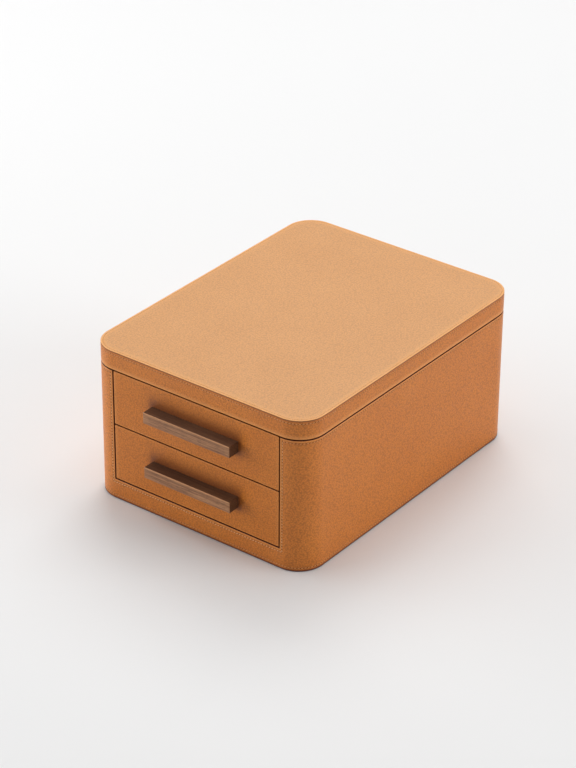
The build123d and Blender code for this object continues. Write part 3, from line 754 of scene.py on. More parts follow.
def roll_surface(number):
    """One roll. Profile(v): a superellipse of exponent 2.2 above the flank and 9 below it.
    Along u its size grows from 0.45 to 1 as a quarter ellipse in the last 6 mm of each end,
    and between them its width and height change by slow sines."""
    half_w, shoulder = roll_width / 2, roll_height - roll_width / 2
    v = np.linspace(0, 2 * math.pi, 41)[:-1]
    c, s = np.cos(v), np.sin(v)
    power = np.where(s > 0, 2.2, 9.0)
    side = np.sign(c) * np.abs(c) ** (2 / power) * half_w
    rise = np.where(s > 0, half_w, shoulder) * np.sign(s) * np.abs(s) ** (2 / power) + shoulder
    length = roll_high[0] - roll_low[0]
    end = TUCKED * (1 - np.cos(np.radians(np.arange(0, 91, 15))))
    u = np.concatenate([end, np.linspace(TUCKED, length - TUCKED, 30)[1:-1], length - end[::-1]])
    from_end = np.clip(np.minimum(u, length - u) / TUCKED, 0, 1)
    size = END_SIZE + (1 - END_SIZE) * np.sqrt(1 - (1 - from_end) ** 2)
    wave = WAVE * np.sin(u / 17 + number * 2.1) * np.sin(number * 1.3 + u / 41)
    y = side[None] * (size * (1 - 0.012 * (1 + np.sin(u / 23 + number))))[:, None]
    lifted = (wave * (size > 0.99) - PRESSED)[:, None] * (rise / roll_height)[None]
    z = np.maximum(shoulder + (rise - shoulder)[None] * size[:, None] + lifted, 0.02)
    middle = roll_low[1] + roll_width / 2 + number * pitch
    return np.stack(np.broadcast_arrays(u[:, None] + roll_low[0], y + middle, z + roll_low[2]), -1)


def tuck_corner(points):
    """Shortens the rolls where the tray's front corner is round: the left end follows the
    arc x = centre - sqrt(r^2 - (y - centre)^2), and the rest is drawn in evenly."""
    centre_x, centre_y = TRAY_CORNER - TRAY[0], TRAY[1] + TRAY_CORNER
    radius = centre_x - roll_low[0]
    away = np.clip(centre_y - points[..., 1], 0, radius)
    start = centre_x - np.sqrt(radius**2 - away**2)
    stretch = (roll_high[0] - np.maximum(start, roll_low[0])) / (roll_high[0] - roll_low[0])
    moved = points.copy()
    moved[..., 0] = roll_high[0] - (roll_high[0] - points[..., 0]) * stretch
    return moved


def close_ends(points):
    """The surface with both end rings drawn together in their middles."""
    first, last = (np.broadcast_to(ring.mean(0), ring.shape) for ring in (points[0], points[-1]))
    return np.concatenate([first[None], points, last[None]])


# %% The whole row
roll_grids = []
for number in range(ROLLS):
    points = close_ends(tuck_corner(roll_surface(number)))
    roll_grids.append((points, quads(*points.shape[:2], closed=True), 0.0))
rolls = make_piece("ring_roll_row", roll_grids, "case", smooth_below=70)
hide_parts("ring_rolls")

# %% [markdown]
# ## Suede over the tray's boards
# The strips round the tray stand four millimetres proud of the rim and guide the lid
# down. They are thin boards wrapped in suede, so their top edge is round. The strip is
# one closed profile carried round the tray's outline, which keeps its thickness even
# in the corners. The floor of the tray, the lid's lining and the sheet under the box
# are laid sheets of suede, and each is a low plate with an eased edge.

# %% Wrapped strips and laid sheets
LINER = 2.0  # thickness of the strips round the tray
SHEET_EASE = 0.3


def folded_profile(width, z0, z1):
    """Across and up of a board with suede folded over it: up one flank, half a circle of
    this width over the top, and down the other flank."""
    bend = np.radians(np.arange(0, 181, 22.5))
    half, middle = width / 2, (z0 + z1) / 2
    across = np.concatenate([[half, half], half * np.cos(bend), [-half, -half]])
    up = np.concatenate([[z0, middle], z1 - half * (1 - np.sin(bend)), [middle, z0]])
    return across, up


def wrapped_ring(shape, thick, z0, z1):
    """The folded profile, carried round an outline and closed along its foot."""
    across, level = folded_profile(thick, z0, z1)
    plan = outlines(shape, plate_places(12, 10), thick / 2 - across)
    points = np.concatenate([plan, np.broadcast_to(level[:, None, None], (*plan.shape[:2], 1))], -1)
    return points, quads(*points.shape[:2], closed=True, turned_rows=True), 0.0


def laid_sheet(name, node, corner, body, face_down=False):
    """A sheet over a node's box. A sheet that faces down is turned over about Y."""
    low, high = box_mm(node)
    width, length, thick = high - low
    middle_x, middle_y, _ = (low + high) / 2
    points, faces, _ = eased_plate(width / 2, length / 2, corner, thick, SHEET_EASE, straight=8, arc=8)
    if face_down:
        points = points * [-1, 1, -1] + [middle_x, middle_y, high[2]]
    else:
        points = lay_flat(points, middle_x, middle_y, low[2])
    piece = make_piece(name, [(points, faces, 0.0)], body)
    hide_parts(node)
    return piece


# %% Tray liner, floor, lid lining and base
liner = make_piece("tray_liner_strips", [wrapped_ring(TRAY, LINER, tray_low[2], tray_high[2])], "case")
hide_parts("tray_liner")
tray_floor = laid_sheet("tray_floor_suede", "tray_floor_pad", TRAY_CORNER - LINER, "case")
lid_inside = laid_sheet("lid_lining_suede", "lid_lining", HOLLOW_CORNER, "lid", face_down=True)
base = laid_sheet("base_suede_sheet", "base_sheet", CORNER - 3.0, "case", face_down=True)
suede_pieces = [liner, tray_floor, lid_inside]

# %% [markdown]
# ## Dividers
# Every divider is a three-millimetre board with one piece of suede folded over it, so
# the fold at the top is a half circle and the ends are hidden against the walls. The
# profile of such a board is carried straight along its length.

# %% A folded board
DIVIDER = 3.0
SKIN_GAP = 0.02  # keeps the wrapped boards just clear of each other


def folded_board(x0, x1, y0, y1, z0, z1):
    """The folded profile, carried straight along the board's longer side and closed at
    both ends."""
    along_x = (x1 - x0) > (y1 - y0)
    start, end = (x0, x1) if along_x else (y0, y1)
    near, far_side = (y0, y1) if along_x else (x0, x1)
    side, level = folded_profile(far_side - near, z0, z1)
    run = np.concatenate([[start + SKIN_GAP] * 2, np.linspace(start, end, 14)[1:-1], [end - SKIN_GAP] * 2])
    scale = np.ones(len(run))
    scale[[0, -1]] = 0
    across = side[None] * scale[:, None]
    up = z0 + (level - z0)[None] * scale[:, None]
    far = np.broadcast_to(run[:, None], across.shape)
    across = across + (near + far_side) / 2
    points = np.stack([far, across, up] if along_x else [across, far, up], -1)
    faces = quads(*points.shape[:2], closed=True)
    return points, faces if along_x else faces[..., ::-1], 0.0


def dividers(name, spans, body, *nodes):
    """A piece made of folded boards, in the place of CAD nodes."""
    piece = make_piece(name, [folded_board(*span) for span in spans], body)
    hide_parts(*nodes)
    suede_pieces.append(piece)
    return piece


# %% Dividers of the tray
low, high = box_mm("tray_dividers")
CROSS_Y, BAY_X = 10.0, 36.0  # middles of the long board across the tray and of the short ones
half = DIVIDER / 2
spans = [(low[0], high[0], CROSS_Y - half, CROSS_Y + half, low[2], high[2]),
         (BAY_X - half, BAY_X + half, low[1], CROSS_Y - half, low[2], high[2])]
spans += [(x - half, x + half, CROSS_Y + half, high[1], low[2], high[2]) for x in (-BAY_X, BAY_X)]
dividers("tray_divider_boards", spans, "case", "tray_dividers")

# %% Dividers of the drawers
for drawer in ("lower", "upper"):
    body = f"{drawer}_drawer"
    low, high = box_mm(f"{drawer}_drawer_long_divider")
    long_span = (low[0], high[0], low[1], high[1], low[2], high[2])
    dividers(f"{drawer}_long_board", [long_span], body, f"{drawer}_drawer_long_divider")
    cross_low, cross_high = box_mm(f"{drawer}_drawer_cross_dividers")
    sides = [(high[0], cross_high[0])] + ([(cross_low[0], low[0])] if cross_low[0] < low[0] else [])
    spans = [(a, b, y, y + DIVIDER, cross_low[2], cross_high[2])
             for a, b in sides for y in (cross_low[1], cross_high[1] - DIVIDER)]
    dividers(f"{drawer}_cross_boards", spans, body, f"{drawer}_drawer_cross_dividers")

# %% Suede on the floor of each drawer and behind its front
BEHIND_FRONT = 0.35  # thickness of the suede behind a front
for drawer in ("lower", "upper"):
    body, lining_node = f"{drawer}_drawer", f"{drawer}_drawer_lining"
    suede_pieces.append(laid_sheet(f"{drawer}_drawer_suede", lining_node, 0.6, body))
    low, high = box_mm(lining_node)
    rim_height = box_mm(f"{drawer}_drawer_side_left")[1][2]
    points, faces, _ = eased_plate(high[0] - 0.1, (rim_height - high[2]) / 2 - 0.05, 0.6, BEHIND_FRONT,
                                   0.1, straight=6, arc=3)
    # Its face looks to the back, so it is mirrored, and its faces are turned to match.
    points = stand_up(points * [1, 1, -1], 0, low[1], (rim_height + high[2]) / 2)
    inside_face = make_piece(f"{drawer}_front_inside_suede", [(points, faces[..., ::-1], 0.0)], body)
    suede_pieces.append(inside_face)

# %% [markdown]
# ## Felt pads, stop tabs and the covered rail
# The small pads are cut from pressed felt, which keeps a soft, slightly domed edge.
# The drawers stop against two leather tabs. The rail behind the upper drawer's front
# wears a strip of leather that is folded over its top edge.

# %% Felt pads
PAD, PAD_PLAY = 6.0, 0.3  # width of a pad, and what is left between it and a closed drawer


def felt_pad(depth):
    """Points and faces of a pad with round corners and a soft edge."""
    return eased_plate(PAD / 2, PAD / 2, 1.0, depth, 0.35, straight=3, arc=4)[:2]


low, high = box_mm("felt_pads")
points, faces = felt_pad(high[2] - case_z1)
pad_grids = [(lay_flat(points, x, y, case_z1), faces, 0.0)
             for x in (low[0] + PAD / 2, high[0] - PAD / 2) for y in (low[1] + PAD / 2, high[1] - PAD / 2)]
back_y = box_mm("back_panel")[0][1]
for drawer in ("lower", "upper"):
    low, high = box_mm(f"{drawer}_drawer_side_right")
    x = box_mm(f"{drawer}_drawer_lining")[1][0] - PAD / 2
    points, faces = felt_pad(back_y - high[1] - PAD_PLAY)
    pad_grids += [(stand_up(points, s * x, back_y, (low[2] + high[2]) / 2), faces, 0.0) for s in (-1, 1)]
felt = make_piece("felt_bumpers", pad_grids, "case")
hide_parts("felt_pads")

# %% Stop tabs
TAB_DROP = 5.0  # height of a tab
low, high = box_mm("drawer_stop_tabs")
points, faces, _ = eased_plate((high[0] - low[0]) / 2, TAB_DROP / 2, 1.2, high[1] - low[1], 0.4,
                               straight=4, arc=5)
tab_grids = [(stand_up(points, 0, high[1], top - TAB_DROP / 2), faces, 0.0)
             for top in (low[2] + TAB_DROP, high[2])]
tabs = make_piece("leather_stop_tabs", tab_grids, "case")
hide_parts("drawer_stop_tabs")

# %% The rail's strip
RAIL_FOLD = 0.8  # radius of the strip's fold over the rail
low, high = box_mm("tray_rail_leather")
fold_y = np.concatenate([[low[1]] * 4, low[1] + RAIL_FOLD * EASE, [low[1] + 3, high[1]]])
fold_z = np.concatenate([np.linspace(low[2], high[2] - 2, 4), high[2] - RAIL_FOLD * RISE, [high[2]] * 2])
across_x = np.linspace(low[0], high[0], 24)
points = np.stack(np.broadcast_arrays(across_x[None], fold_y[:, None], fold_z[:, None]), -1)
strip_grid = (points, quads(*points.shape[:2]), 0.0)
rail_strip = make_piece("tray_rail_strip", [strip_grid], "case", thickness=0.75)
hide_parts("tray_rail_leather")

# %% [markdown]
# ## Hinge screws
# Each brass leaf is held by two countersunk screws with a single slot. A head is a
# disc on a grid whose lines run along and across the slot: it is let in flush, rises a
# little to its middle and drops by a third of a millimetre in the slot.

# %% Slotted screw heads
HEAD, SLOT_HALF, SLOT_DEPTH = 1.7, 0.28, 0.3  # radius of a head, half its slot's width, its depth
SKIRT = 0.6  # the rim goes down by this much into the leaf
LEAF_METAL = 1.0  # thickness of a leaf
SCREW_ALONG, SCREW_IN = 13.0, 3.2  # from the middle of a leaf, and from its inner edge


def screw_head(x, y, z, facing, turned):
    """Height(u, v) = 0.12 (1 - (u^2 + v^2)/R^2), with u across the slot and v along it,
    less the depth of the slot where u is inside it."""
    half = np.array([0, SLOT_HALF, SLOT_HALF + 0.01, 0.7, 1.2, 0.97 * HEAD, HEAD])
    side = np.concatenate([-half[:0:-1], half])
    u, v = np.meshgrid(side, np.concatenate([[-1], np.linspace(-0.99, 0.99, 13), [1]]), indexing="ij")
    v = v * np.sqrt(np.clip(HEAD**2 - u**2, 0, None))
    from_axis = (u**2 + v**2) / HEAD**2
    rise = 0.12 * (1 - from_axis) + 0.02 - SLOT_DEPTH * (np.abs(u) <= SLOT_HALF) * (from_axis < 0.94)
    rise = np.where(from_axis > 0.999, -SKIRT, rise)
    c, s = math.cos(turned), math.sin(turned)
    points = np.stack([x + u * c - v * s, y + u * s + v * c, z + facing * rise], -1)
    faces = quads(*points.shape[:2])
    return points, faces[..., ::-1] if facing > 0 else faces, 0.0


def screws(name, z, facing, body):
    """Four heads, each with its slot left at another angle, as screws come to rest."""
    middle, y = leaf_high[0] - LEAF_LENGTH / 2, leaf_low[1] + SCREW_IN
    grids = [screw_head(s * middle + t * SCREW_ALONG, y, z, facing, 0.7 + 1.9 * s + 0.8 * t)
             for s in (-1, 1) for t in (-1, 1)]
    piece = make_piece(name, grids, body, smooth_below=30)
    close_holes(piece)
    return piece


screw_pieces = [screws("case_hinge_screws", case_z1 - LEATHER + LEAF_METAL, 1, "case"),
                screws("lid_hinge_screws", lid_z0 + LEATHER - LEAF_METAL, -1, "lid")]

# %% [markdown]
# ## Finishes: one helper
# Every finish is a small network of nodes. One function adds a node, sets its options
# and fills or links its inputs, and another turns the hex colours of a paint chart into
# the linear numbers that the shader works with.

# %% Helpers for finishes


def linear(code):
    """An sRGB colour such as c07040, as linear red, green, blue and alpha."""
    parts = [int(code[k : k + 2], 16) / 255 for k in (0, 2, 4)]
    return [p / 12.92 if p <= 0.04045 else ((p + 0.055) / 1.055) ** 2.4 for p in parts] + [1.0]


def add(tree, kind, inputs=(), **options):
    """Adds a node. inputs maps a socket's name or number to a value or to a link."""
    node = tree.nodes.new("ShaderNode" + kind)
    for option, value in options.items():
        setattr(node, option, value)
    for socket, value in dict(inputs).items():
        if isinstance(value, bpy.types.NodeSocket):
            tree.links.new(value, node.inputs[socket])
        else:
            node.inputs[socket].default_value = value
    return node


def new_finish(name, **shader):
    """A material with a Principled shader; the shader's even values are set here."""
    material = bpy.data.materials.new(name)
    material.use_nodes = True
    tree = material.node_tree
    bsdf = tree.nodes["Principled BSDF"]
    for socket, value in shader.items():
        bsdf.inputs[socket.replace("_", " ")].default_value = value
    place = add(tree, "TexCoord").outputs["Object"]
    return material, tree, bsdf, place


def join(bsdf, **links):
    """Links outputs to the shader's inputs, whose names are written with _ for a space."""
    for socket, link in links.items():
        bsdf.id_data.links.new(link, bsdf.inputs[socket.replace("_", " ")])


def per_mm(size):
    """Scale of a pattern whose features are this many millimetres apart."""
    return 1 / (size * MM)


def show_stain_and_painted_light(tree, tone, pale, pale_share, dark, dark_share):
    """The tone, mixed with a pale colour where the mesh's number is positive, a painted
    highlight, and a dark one where it is negative: painted shade, and on the top panel's
    raw edge a stain. A share is how much of the colour shows at a number of 1."""
    stain_and_painted_light = add(tree, "Attribute", attribute_name="stain_and_painted_light").outputs["Fac"]
    for code, share in ((pale, pale_share), (dark, -dark_share)):
        amount = add(tree, "Math", {0: stain_and_painted_light, 1: share}, operation="MULTIPLY", use_clamp=True).outputs[0]
        tone = add(tree, "Mix", {0: amount, 6: tone, 7: linear(code)}, data_type="RGBA").outputs[2]
    return tone


# %% [markdown]
# ## Vegetable-tanned leather
# The hide is calf, tanned with bark, dyed tan and finished with wax. Tanning with bark
# leaves a warm orange-brown that is a little cloudy over the hand's breadth, and
# plating leaves a fine, shallow grain, about 0.7 mm apart. Wax gives a soft shine with
# an IOR near 1.5. Folded edges carry a painted highlight, joints and gaps a painted
# shade, and the top panel's raw edge is stained dark. The top panel is a paler hide, and
# the drawer fronts get a deeper tan, a painted shade for the front.

# %% Leather


# A grain of 0.7 mm is too fine to show in the picture, so it is drawn twice as coarse.
def leather(name, dark, light, painted_highlight, shade_and_edge_stain, rough=0.46, grain_mm=1.4, shine=0.4, mottle=0.2):
    """Two shades in clouds of 45 mm and flecks of 4 mm, a pebbled grain, and the painted highlight, painted
    shade and edge stain that the mesh's number carries.
    """
    material, tree, bsdf, place = new_finish(name, IOR=1.5, Specular_IOR_Level=shine)
    cloud = add(tree, "TexNoise", {"Vector": place, "Scale": per_mm(45), "Detail": 2.0}).outputs[0]
    fleck = add(tree, "TexNoise", {"Vector": place, "Scale": per_mm(4), "Detail": 3.0}).outputs[0]
    pores = add(tree, "TexVoronoi", {"Vector": place, "Scale": per_mm(grain_mm), "Smoothness": 0.6},
                feature="SMOOTH_F1").outputs["Distance"]
    fine = add(tree, "TexNoise", {"Vector": place, "Scale": per_mm(0.5), "Detail": 2.0}).outputs[0]
    blend = add(tree, "Math", {0: cloud, 1: 0.55, 2: -0.03}, operation="MULTIPLY_ADD").outputs[0]
    blend = add(tree, "Math", {0: fleck, 1: 0.5, 2: blend}, operation="MULTIPLY_ADD").outputs[0]
    tone = add(tree, "Mix", {0: blend, 6: linear(dark), 7: linear(light)}, data_type="RGBA").outputs[2]
    pit = add(tree, "MapRange", {0: pores, 1: 0.2, 2: 0.75, 3: 1 + 0.5 * mottle, 4: 1 - mottle}).outputs[0]
    tone = add(tree, "Mix", {0: 1.0, 6: tone, 7: pit}, data_type="RGBA", blend_type="MULTIPLY").outputs[2]
    tone = show_stain_and_painted_light(tree, tone, painted_highlight, 0.8, shade_and_edge_stain, 1.0)
    gloss = add(tree, "MapRange", {0: fleck, 1: 0.3, 2: 0.7, 3: rough - 0.04, 4: rough + 0.05}).outputs[0]
    height = add(tree, "Math", {0: fine, 1: 0.35, 2: pores}, operation="MULTIPLY_ADD").outputs[0]
    bump = add(tree, "Bump", {"Strength": 0.35, "Distance": 0.12 * MM, "Height": height}, invert=True)
    join(bsdf, Base_Color=tone, Roughness=gloss, Normal=bump.outputs[0])
    return material


# de9650 is the painted highlight on the folds, 4e1208 the painted shade in the gaps.
waxed_tan = leather("waxed_calf_tan", "b86519", "d07e2c", "de9650", "4e1208", shine=0.42, mottle=0.26)
# A deeper tan than the case's, a painted shade for the front faces; 521e08 is the painted shade in their
# gaps and de9650 their painted highlight.
shaded_drawer_tan = leather("waxed_calf_drawer_fronts", "b56317", "cd7b29", "de9650", "521e08",
                     shine=0.36, mottle=0.26)
# eaa860 is the painted highlight on the panel's rim, and 8a4c1c the stain of its raw edge.
panel_tan = leather("waxed_calf_top_panel", "c68845", "d59858", "eaa860", "8a4c1c", mottle=0.17)
inner_tan = leather("waxed_calf_inside", "98501a", "b2662a", "c07838", "2c0a06")

# %% [markdown]
# ## Waxed linen thread
# The thread is bleached linen drawn through beeswax, so it is a pale straw colour with
# a dull shine. Its plies are a fifth of a millimetre apart, which no view from a metre
# away can show, so only a soft variation from stitch to stitch is drawn. Round the
# opening the thread is pale, and elsewhere it is a darker tan close to the leather, so
# that those rows show faintly. The slits are small dark lenses laid on the leather: a
# painted shadow in the holes that the awl leaves.

# %% Thread and slits


def flecked(name, dark, light, fleck_mm, **shader):
    """Two shades that change softly at this distance."""
    material, tree, bsdf, place = new_finish(name, IOR=1.45, **shader)
    shade = add(tree, "TexNoise", {"Vector": place, "Scale": per_mm(fleck_mm), "Detail": 1.0}).outputs[0]
    tone = add(tree, "Mix", {0: shade, 6: linear(dark), 7: linear(light)}, data_type="RGBA").outputs[2]
    join(bsdf, Base_Color=tone)
    return material


linen = flecked("waxed_linen_thread", "dca266", "f3cb96", 2.5, Roughness=0.6)
tan_linen = flecked("tan_linen_thread", "c58346", "dda46a", 2.5, Roughness=0.6)
# Painted shadow for the awl holes.
slit_dark = flecked("awl_slit_shadow", "5a2a10", "7a4018", 1.5, Roughness=0.9, Specular_IOR_Level=0.1)

# %% [markdown]
# ## Oiled walnut
# Walnut is a brown wood with grey in it. Its growth lines run along the board about
# one to three millimetres apart and drift slowly, and its pores show as short dark
# dashes a third of a millimetre wide. Oil leaves it nearly matt, with a low sheen. The
# pattern is stretched along the grain, so one function serves for any direction.

# %% Walnut and the plainer woods


def wood(name, grain, dark, light, line_mm=1.6, pore=0.5, rough=0.5, shine=0.35, painted_highlight_tone=None, painted_shade_tone=None):
    """Growth lines and pores, stretched 40 and 14 times along the grain axis."""
    material, tree, bsdf, place = new_finish(name, IOR=1.5, Specular_IOR_Level=shine)
    squeezes = [np.where(np.arange(3) == grain, 1 / times, 1.0) for times in (40, 14)]
    drawn, dashes = (add(tree, "Mapping", {"Vector": place, "Scale": s}).outputs[0] for s in squeezes)
    drift = add(tree, "TexNoise", {"Vector": place, "Scale": per_mm(30), "Detail": 1.0}).outputs[0]
    lines = {"Vector": drawn, "Scale": per_mm(line_mm), "Detail": 4.0, "Distortion": 0.3}
    lines = add(tree, "TexNoise", lines).outputs[0]
    broad = add(tree, "TexNoise", {"Vector": drawn, "Scale": per_mm(line_mm * 5), "Detail": 1.0}).outputs[0]
    pores = add(tree, "TexNoise", {"Vector": dashes, "Scale": per_mm(0.45), "Detail": 1.0}).outputs[0]
    mixed = add(tree, "Math", {0: lines, 1: 0.9, 2: -0.2}, operation="MULTIPLY_ADD").outputs[0]
    mixed = add(tree, "Math", {0: broad, 1: 0.4, 2: mixed}, operation="MULTIPLY_ADD").outputs[0]
    mixed = add(tree, "Math", {0: drift, 1: 0.2, 2: mixed}, operation="MULTIPLY_ADD").outputs[0]
    share = add(tree, "MapRange", {0: mixed, 1: 0.35, 2: 0.75}).outputs[0]
    tone = add(tree, "Mix", {0: share, 6: linear(dark), 7: linear(light)}, data_type="RGBA").outputs[2]
    dark_pore = add(tree, "MapRange", {0: pores, 1: 0.56, 2: 0.66, 3: 1.0, 4: 1 - pore}).outputs[0]
    pored = {0: 1.0, 6: tone, 7: dark_pore}
    tone = add(tree, "Mix", pored, data_type="RGBA", blend_type="MULTIPLY").outputs[2]
    # On the bars: a painted highlight where the number is positive, painted shade where it is negative.
    if painted_highlight_tone:
        tone = show_stain_and_painted_light(tree, tone, painted_highlight_tone, 0.9, painted_shade_tone, 0.72)
    gloss = add(tree, "MapRange", {0: lines, 3: rough - 0.05, 4: rough + 0.1}).outputs[0]
    bump = add(tree, "Bump", {"Strength": 0.4, "Distance": 0.05 * MM, "Height": dark_pore}).outputs[0]
    join(bsdf, Base_Color=tone, Roughness=gloss, Normal=bump)
    return material


# c48a58 is the painted highlight on the bar's upper edge, 2e1404 the painted shade on its top, ends,
# underside and back.
bar_walnut = wood("oiled_walnut_bar", 0, "6a3d20", "aa7950", line_mm=1.3, rough=0.5, shine=0.5,
                  painted_highlight_tone="c48a58", painted_shade_tone="2e1404")
side_walnut = wood("walnut_side_boards", 1, "4d3222", "7d5a41")
back_walnut = wood("walnut_back_boards", 0, "4d3222", "7d5a41")
bottom_ply = wood("birch_ply_bottom", 1, "b08a5d", "cfae82", pore=0.12, line_mm=2.5)
runner_maple = wood("waxed_maple_runner", 1, "b98f60", "d4b285", pore=0.08, line_mm=2.2)
core_poplar = wood("poplar_core_board", 0, "a98a66", "c9ab86", pore=0.1, line_mm=3.0)

# %% [markdown]
# ## Suede, brushed cloth and felt
# The compartments are lined with suede, the rough inner side of split hide. Its short
# nap takes light softly and brightens at a glancing angle, which the shader's sheen
# gives. The rolls are covered with brushed cotton of the same colour family, woven
# with a thread every 0.4 mm, and the little pads are pressed wool felt.

# %% Napped finishes


def napped(name, dark, light, nap_mm, sheen, blot_mm=14.0, depth=0.15):
    """A soft surface: blotches where the nap lies differently, fine fibre, and sheen."""
    material, tree, bsdf, place = new_finish(name, IOR=1.45, Roughness=0.95, Specular_IOR_Level=0.15,
                                             Sheen_Weight=sheen, Sheen_Roughness=0.45)
    blot = add(tree, "TexNoise", {"Vector": place, "Scale": per_mm(blot_mm), "Detail": 3.0}).outputs[0]
    fibre = add(tree, "TexNoise", {"Vector": place, "Scale": per_mm(nap_mm), "Detail": 4.0}).outputs[0]
    share = add(tree, "Math", {0: fibre, 1: 0.5, 2: blot}, operation="MULTIPLY_ADD").outputs[0]
    share = add(tree, "MapRange", {0: share, 1: 0.45, 2: 1.05}).outputs[0]
    tone = add(tree, "Mix", {0: share, 6: linear(dark), 7: linear(light)}, data_type="RGBA").outputs[2]
    bump = add(tree, "Bump", {"Strength": 0.5, "Distance": depth * MM, "Height": fibre}).outputs[0]
    join(bsdf, Base_Color=tone, Normal=bump)
    return material


lining_suede = napped("split_suede_lining", "90715a", "a98a6d", 0.6, 0.35, blot_mm=20.0)
base_suede = napped("dark_base_suede", "2a1d15", "46342a", 0.6, 0.2)
roll_cotton = napped("brushed_cotton_rolls", "927458", "b99878", 0.4, 0.4, depth=0.1)
wool_felt = napped("pressed_wool_felt", "30241c", "4c3b30", 0.5, 0.25)

# %% [markdown]
# ## Brass and steel
# The hinges are cast and machined brass, brushed along their length and lacquered, so
# their shine is drawn out into faint lines. Metals keep the shader's own IOR, and
# their colour comes from the metallic setting.

# %% Metals


def brushed_metal(name, dark, light, rough):
    """A metal with brush lines 0.3 mm apart along X and a slow change of tone."""
    material, tree, bsdf, place = new_finish(name, Metallic=1.0)
    lines = add(tree, "Mapping", {"Vector": place, "Scale": (1 / 30, 1.0, 1.0)}).outputs[0]
    brush = add(tree, "TexNoise", {"Vector": lines, "Scale": per_mm(0.3), "Detail": 2.0}).outputs[0]
    slow = add(tree, "TexNoise", {"Vector": place, "Scale": per_mm(9), "Detail": 2.0}).outputs[0]
    tone = add(tree, "Mix", {0: slow, 6: linear(dark), 7: linear(light)}, data_type="RGBA").outputs[2]
    gloss = add(tree, "MapRange", {0: brush, 3: rough - 0.08, 4: rough + 0.12}).outputs[0]
    bump = add(tree, "Bump", {"Strength": 0.15, "Distance": 0.03 * MM, "Height": brush}).outputs[0]
    join(bsdf, Base_Color=tone, Roughness=gloss, Normal=bump)
    return material


brass = brushed_metal("lacquered_brass", "b98d45", "d6ae66", 0.3)
steel = brushed_metal("plated_steel", "8f8f8d", "b5b5b2", 0.35)

# %% [markdown]
# ## Put the finishes on
# Each new piece gets its one finish. The CAD nodes that still show, such as the drawer
# boxes and the hinges, get theirs by the names of their slots.

# %% Finishes of the new pieces and of the CAD nodes
row_threads = [edge_thread, opening_thread, band_thread, top_thread]
for finish, pieces in (
    (waxed_tan, [case_skin, lid_band]), (shaded_drawer_tan, drawer_fronts), (panel_tan, [lid_top]),
    (inner_tan, [tabs, rail_strip]), (tan_linen, [edge_thread[0], band_thread[0], top_thread[0]]),
    (linen, [opening_thread[0]]), (slit_dark, [slits for _, slits in row_threads]),
    (bar_walnut, bars), (lining_suede, suede_pieces), (base_suede, [base]),
    (roll_cotton, [rolls]), (wool_felt, [felt]), (brass, screw_pieces),
):
    for piece in pieces:
        piece.data.materials.append(finish)
by_slot = {
    "case_leather": waxed_tan, "lid_band_leather": waxed_tan, "lid_top_leather": panel_tan,
    "drawer_leather": shaded_drawer_tan, "inner_leather": inner_tan, "walnut_bar": bar_walnut,
    "drawer_walnut": side_walnut, "drawer_bottom_ply": bottom_ply, "runner_wood": runner_maple,
    "core_board": core_poplar, "suede": lining_suede, "base_suede": base_suede,
    "roll_cloth": roll_cotton, "felt": wool_felt, "hinge_brass": brass, "screw_steel": steel,
}
for name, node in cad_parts.items():
    for slot in node.material_slots:
        finish = by_slot[slot.material.name.split(".")[0]]
        slot.material = back_walnut if name.endswith("_drawer_back") else finish
print("finishes:", len(bpy.data.materials), " slots:", len(by_slot))

# %% [markdown]
# ## Floor and room
# The box stands on a white sweep of paper in a studio. The white behind it could come
# from strong lamps, but they would bleach the leather. Here the room and the far paper
# only look white: they show a white of strength 1 to the camera, also by way of a shine,
# and the light that they give is weaker.

# %% Floor and room
PAPER_REACH = 6.0  # metres
paper = bpy.data.meshes.new("paper_sweep")
corners = [(-1, -1, 0), (1, -1, 0), (1, 1, 0), (-1, 1, 0)]
paper.from_pydata([tuple(PAPER_REACH * v for v in corner) for corner in corners], [], [(0, 1, 2, 3)])
sweep = bpy.data.objects.new("paper_sweep", paper)
bpy.context.scene.collection.objects.link(sweep)
white_paper, tree, bsdf, place = new_finish("white_paper", Roughness=0.9, Specular_IOR_Level=0.2)
cloudy = add(tree, "TexNoise", {"Vector": place, "Scale": 1.2, "Detail": 1.0}).outputs[0]
tone = add(tree, "Mix", {0: cloudy, 6: linear("eaeaea"), 7: linear("eeeeee")}, data_type="RGBA").outputs[2]
tree.links.new(tone, bsdf.inputs["Base Color"])
paper.materials.append(white_paper)


def in_view(tree):
    """1 for rays from the camera, also by way of a shine or through glass; otherwise 0."""
    path = add(tree, "LightPath").outputs
    total = path["Is Camera Ray"]
    for ray in ("Is Glossy Ray", "Is Transmission Ray"):
        total = add(tree, "Math", {0: total, 1: path[ray]}, operation="ADD", use_clamp=True).outputs[0]
    return total


# Far from the box the lamps no longer reach the paper, so it fades into the backdrop.
away = add(tree, "VectorMath", {0: place}, operation="LENGTH").outputs["Value"]
far = add(tree, "MapRange", {0: away, 1: 1.4, 2: 3.0}).outputs[0]
share = add(tree, "Math", {0: far, 1: in_view(tree)}, operation="MULTIPLY").outputs[0]
glow = add(tree, "Emission", {"Color": linear("f8f8f8"), "Strength": 1.0}).outputs[0]
faded = add(tree, "MixShader", {0: share, 1: bsdf.outputs[0], 2: glow}).outputs[0]
tree.links.new(faded, tree.nodes["Material Output"].inputs["Surface"])

room = bpy.data.worlds.new("studio_room")
bpy.context.scene.world = room
room.use_nodes = True
tree = room.node_tree
tree.nodes.clear()
light = add(tree, "Background", {"Color": linear("ffffff"), "Strength": 0.28}).outputs[0]
backdrop = add(tree, "Background", {"Color": linear("f8f8f8"), "Strength": 1.0}).outputs[0]
either = add(tree, "MixShader", {0: in_view(tree), 1: light, 2: backdrop}).outputs[0]
add(tree, "OutputWorld", {"Surface": either})


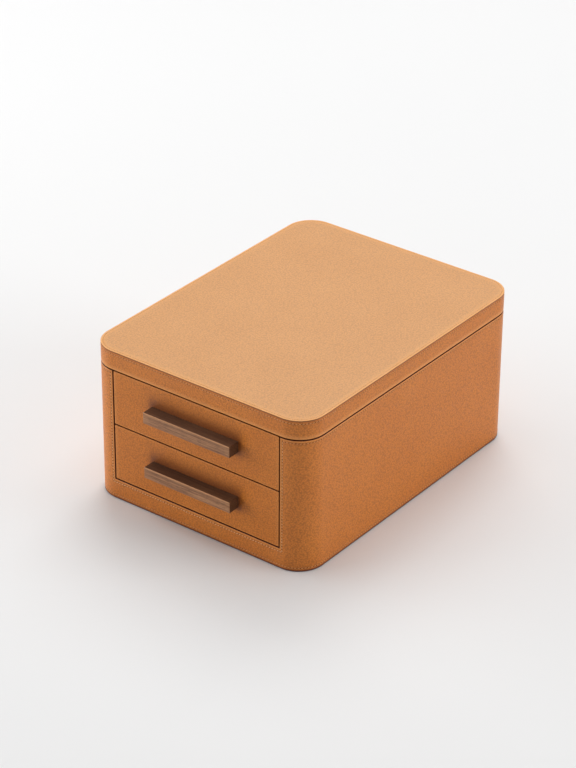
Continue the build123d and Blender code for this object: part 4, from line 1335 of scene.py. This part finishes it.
# %% [markdown]
# ## Lamps
# Soft boxes as large as windows give soft shadows. The strongest one hangs above and
# behind the box, lights the lid and lets the shadow fall towards the viewer. One hangs
# overhead, and three low ones fill the left, the right and the front.

# %% Lamps


def soft_lamp(name, place, target, width, height, power, colour):
    """A soft box of this size, in metres, that faces its target."""
    lamp = bpy.data.lights.new(name, "AREA")
    lamp.shape, lamp.size, lamp.size_y = "RECTANGLE", width, height
    lamp.energy, lamp.color = power, linear(colour)[:3]
    holder = bpy.data.objects.new(name, lamp)
    towards = Vector(target) - Vector(place)
    holder.matrix_world = Matrix.Translation(place) @ towards.to_track_quat("-Z", "Y").to_matrix().to_4x4()
    bpy.context.scene.collection.objects.link(holder)
    return holder


soft_lamp("key_above_behind", (-1.3, 2.3, 3.0), (0, 0, 0.1), 2.6, 2.0, 59, "ffffff")
soft_lamp("overhead", (0.0, 0.4, 3.2), (0, 0, 0.1), 2.4, 2.4, 36, "ffffff")
soft_lamp("fill_left", (-2.6, -0.6, 0.7), (0, 0, 0.06), 1.6, 1.0, 28, "ffffff")
soft_lamp("fill_right_behind", (2.4, 1.0, 0.7), (0, 0, 0.06), 1.6, 1.2, 31, "ffffff")
soft_lamp("fill_front_left", (-2.0, -2.0, 0.5), (0, 0, 0.06), 1.4, 0.9, 25, "ffffff")

# %% [markdown]
# ## Camera
# The camera's place was worked out from the box's own lines in the photograph: a long
# lens, 37 degrees round to the right and 30 degrees up, more than ten widths away. Its
# distances are given in widths of the box, because a photograph shows no true size.

# %% Camera
AZIMUTH, PITCH, ROLL = math.radians(37.197), math.radians(29.896), math.radians(0.382)
WIDTHS_AWAY, SIDE_STEP, UP_STEP = 10.6385, -0.0634, 0.2865  # in widths of the box
width = 2 * half_x * MM
back = Vector((math.sin(AZIMUTH) * math.cos(PITCH), -math.cos(AZIMUTH) * math.cos(PITCH), math.sin(PITCH)))
right_hand = Vector((math.cos(AZIMUTH), math.sin(AZIMUTH), 0))
upward = back.cross(right_hand)
rolled_right = right_hand * math.cos(ROLL) + upward * math.sin(ROLL)
rolled_up = upward * math.cos(ROLL) - right_hand * math.sin(ROLL)
spot = (back * WIDTHS_AWAY + rolled_right * SIDE_STEP + rolled_up * UP_STEP) * width
lens = bpy.data.cameras.new("studio_camera")
lens.lens, lens.sensor_width, lens.sensor_fit = 129.454, 36.0, "AUTO"
camera = bpy.data.objects.new("studio_camera", lens)
facing = Matrix((rolled_right, rolled_up, back)).transposed()
camera.matrix_world = Matrix.Translation(spot) @ facing.to_4x4()
bpy.context.scene.collection.objects.link(camera)
bpy.context.scene.camera = camera
bpy.context.scene.view_settings.view_transform = "Standard"
print("camera", [round(v, 3) for v in spot], "m, lens", lens.lens, "mm")
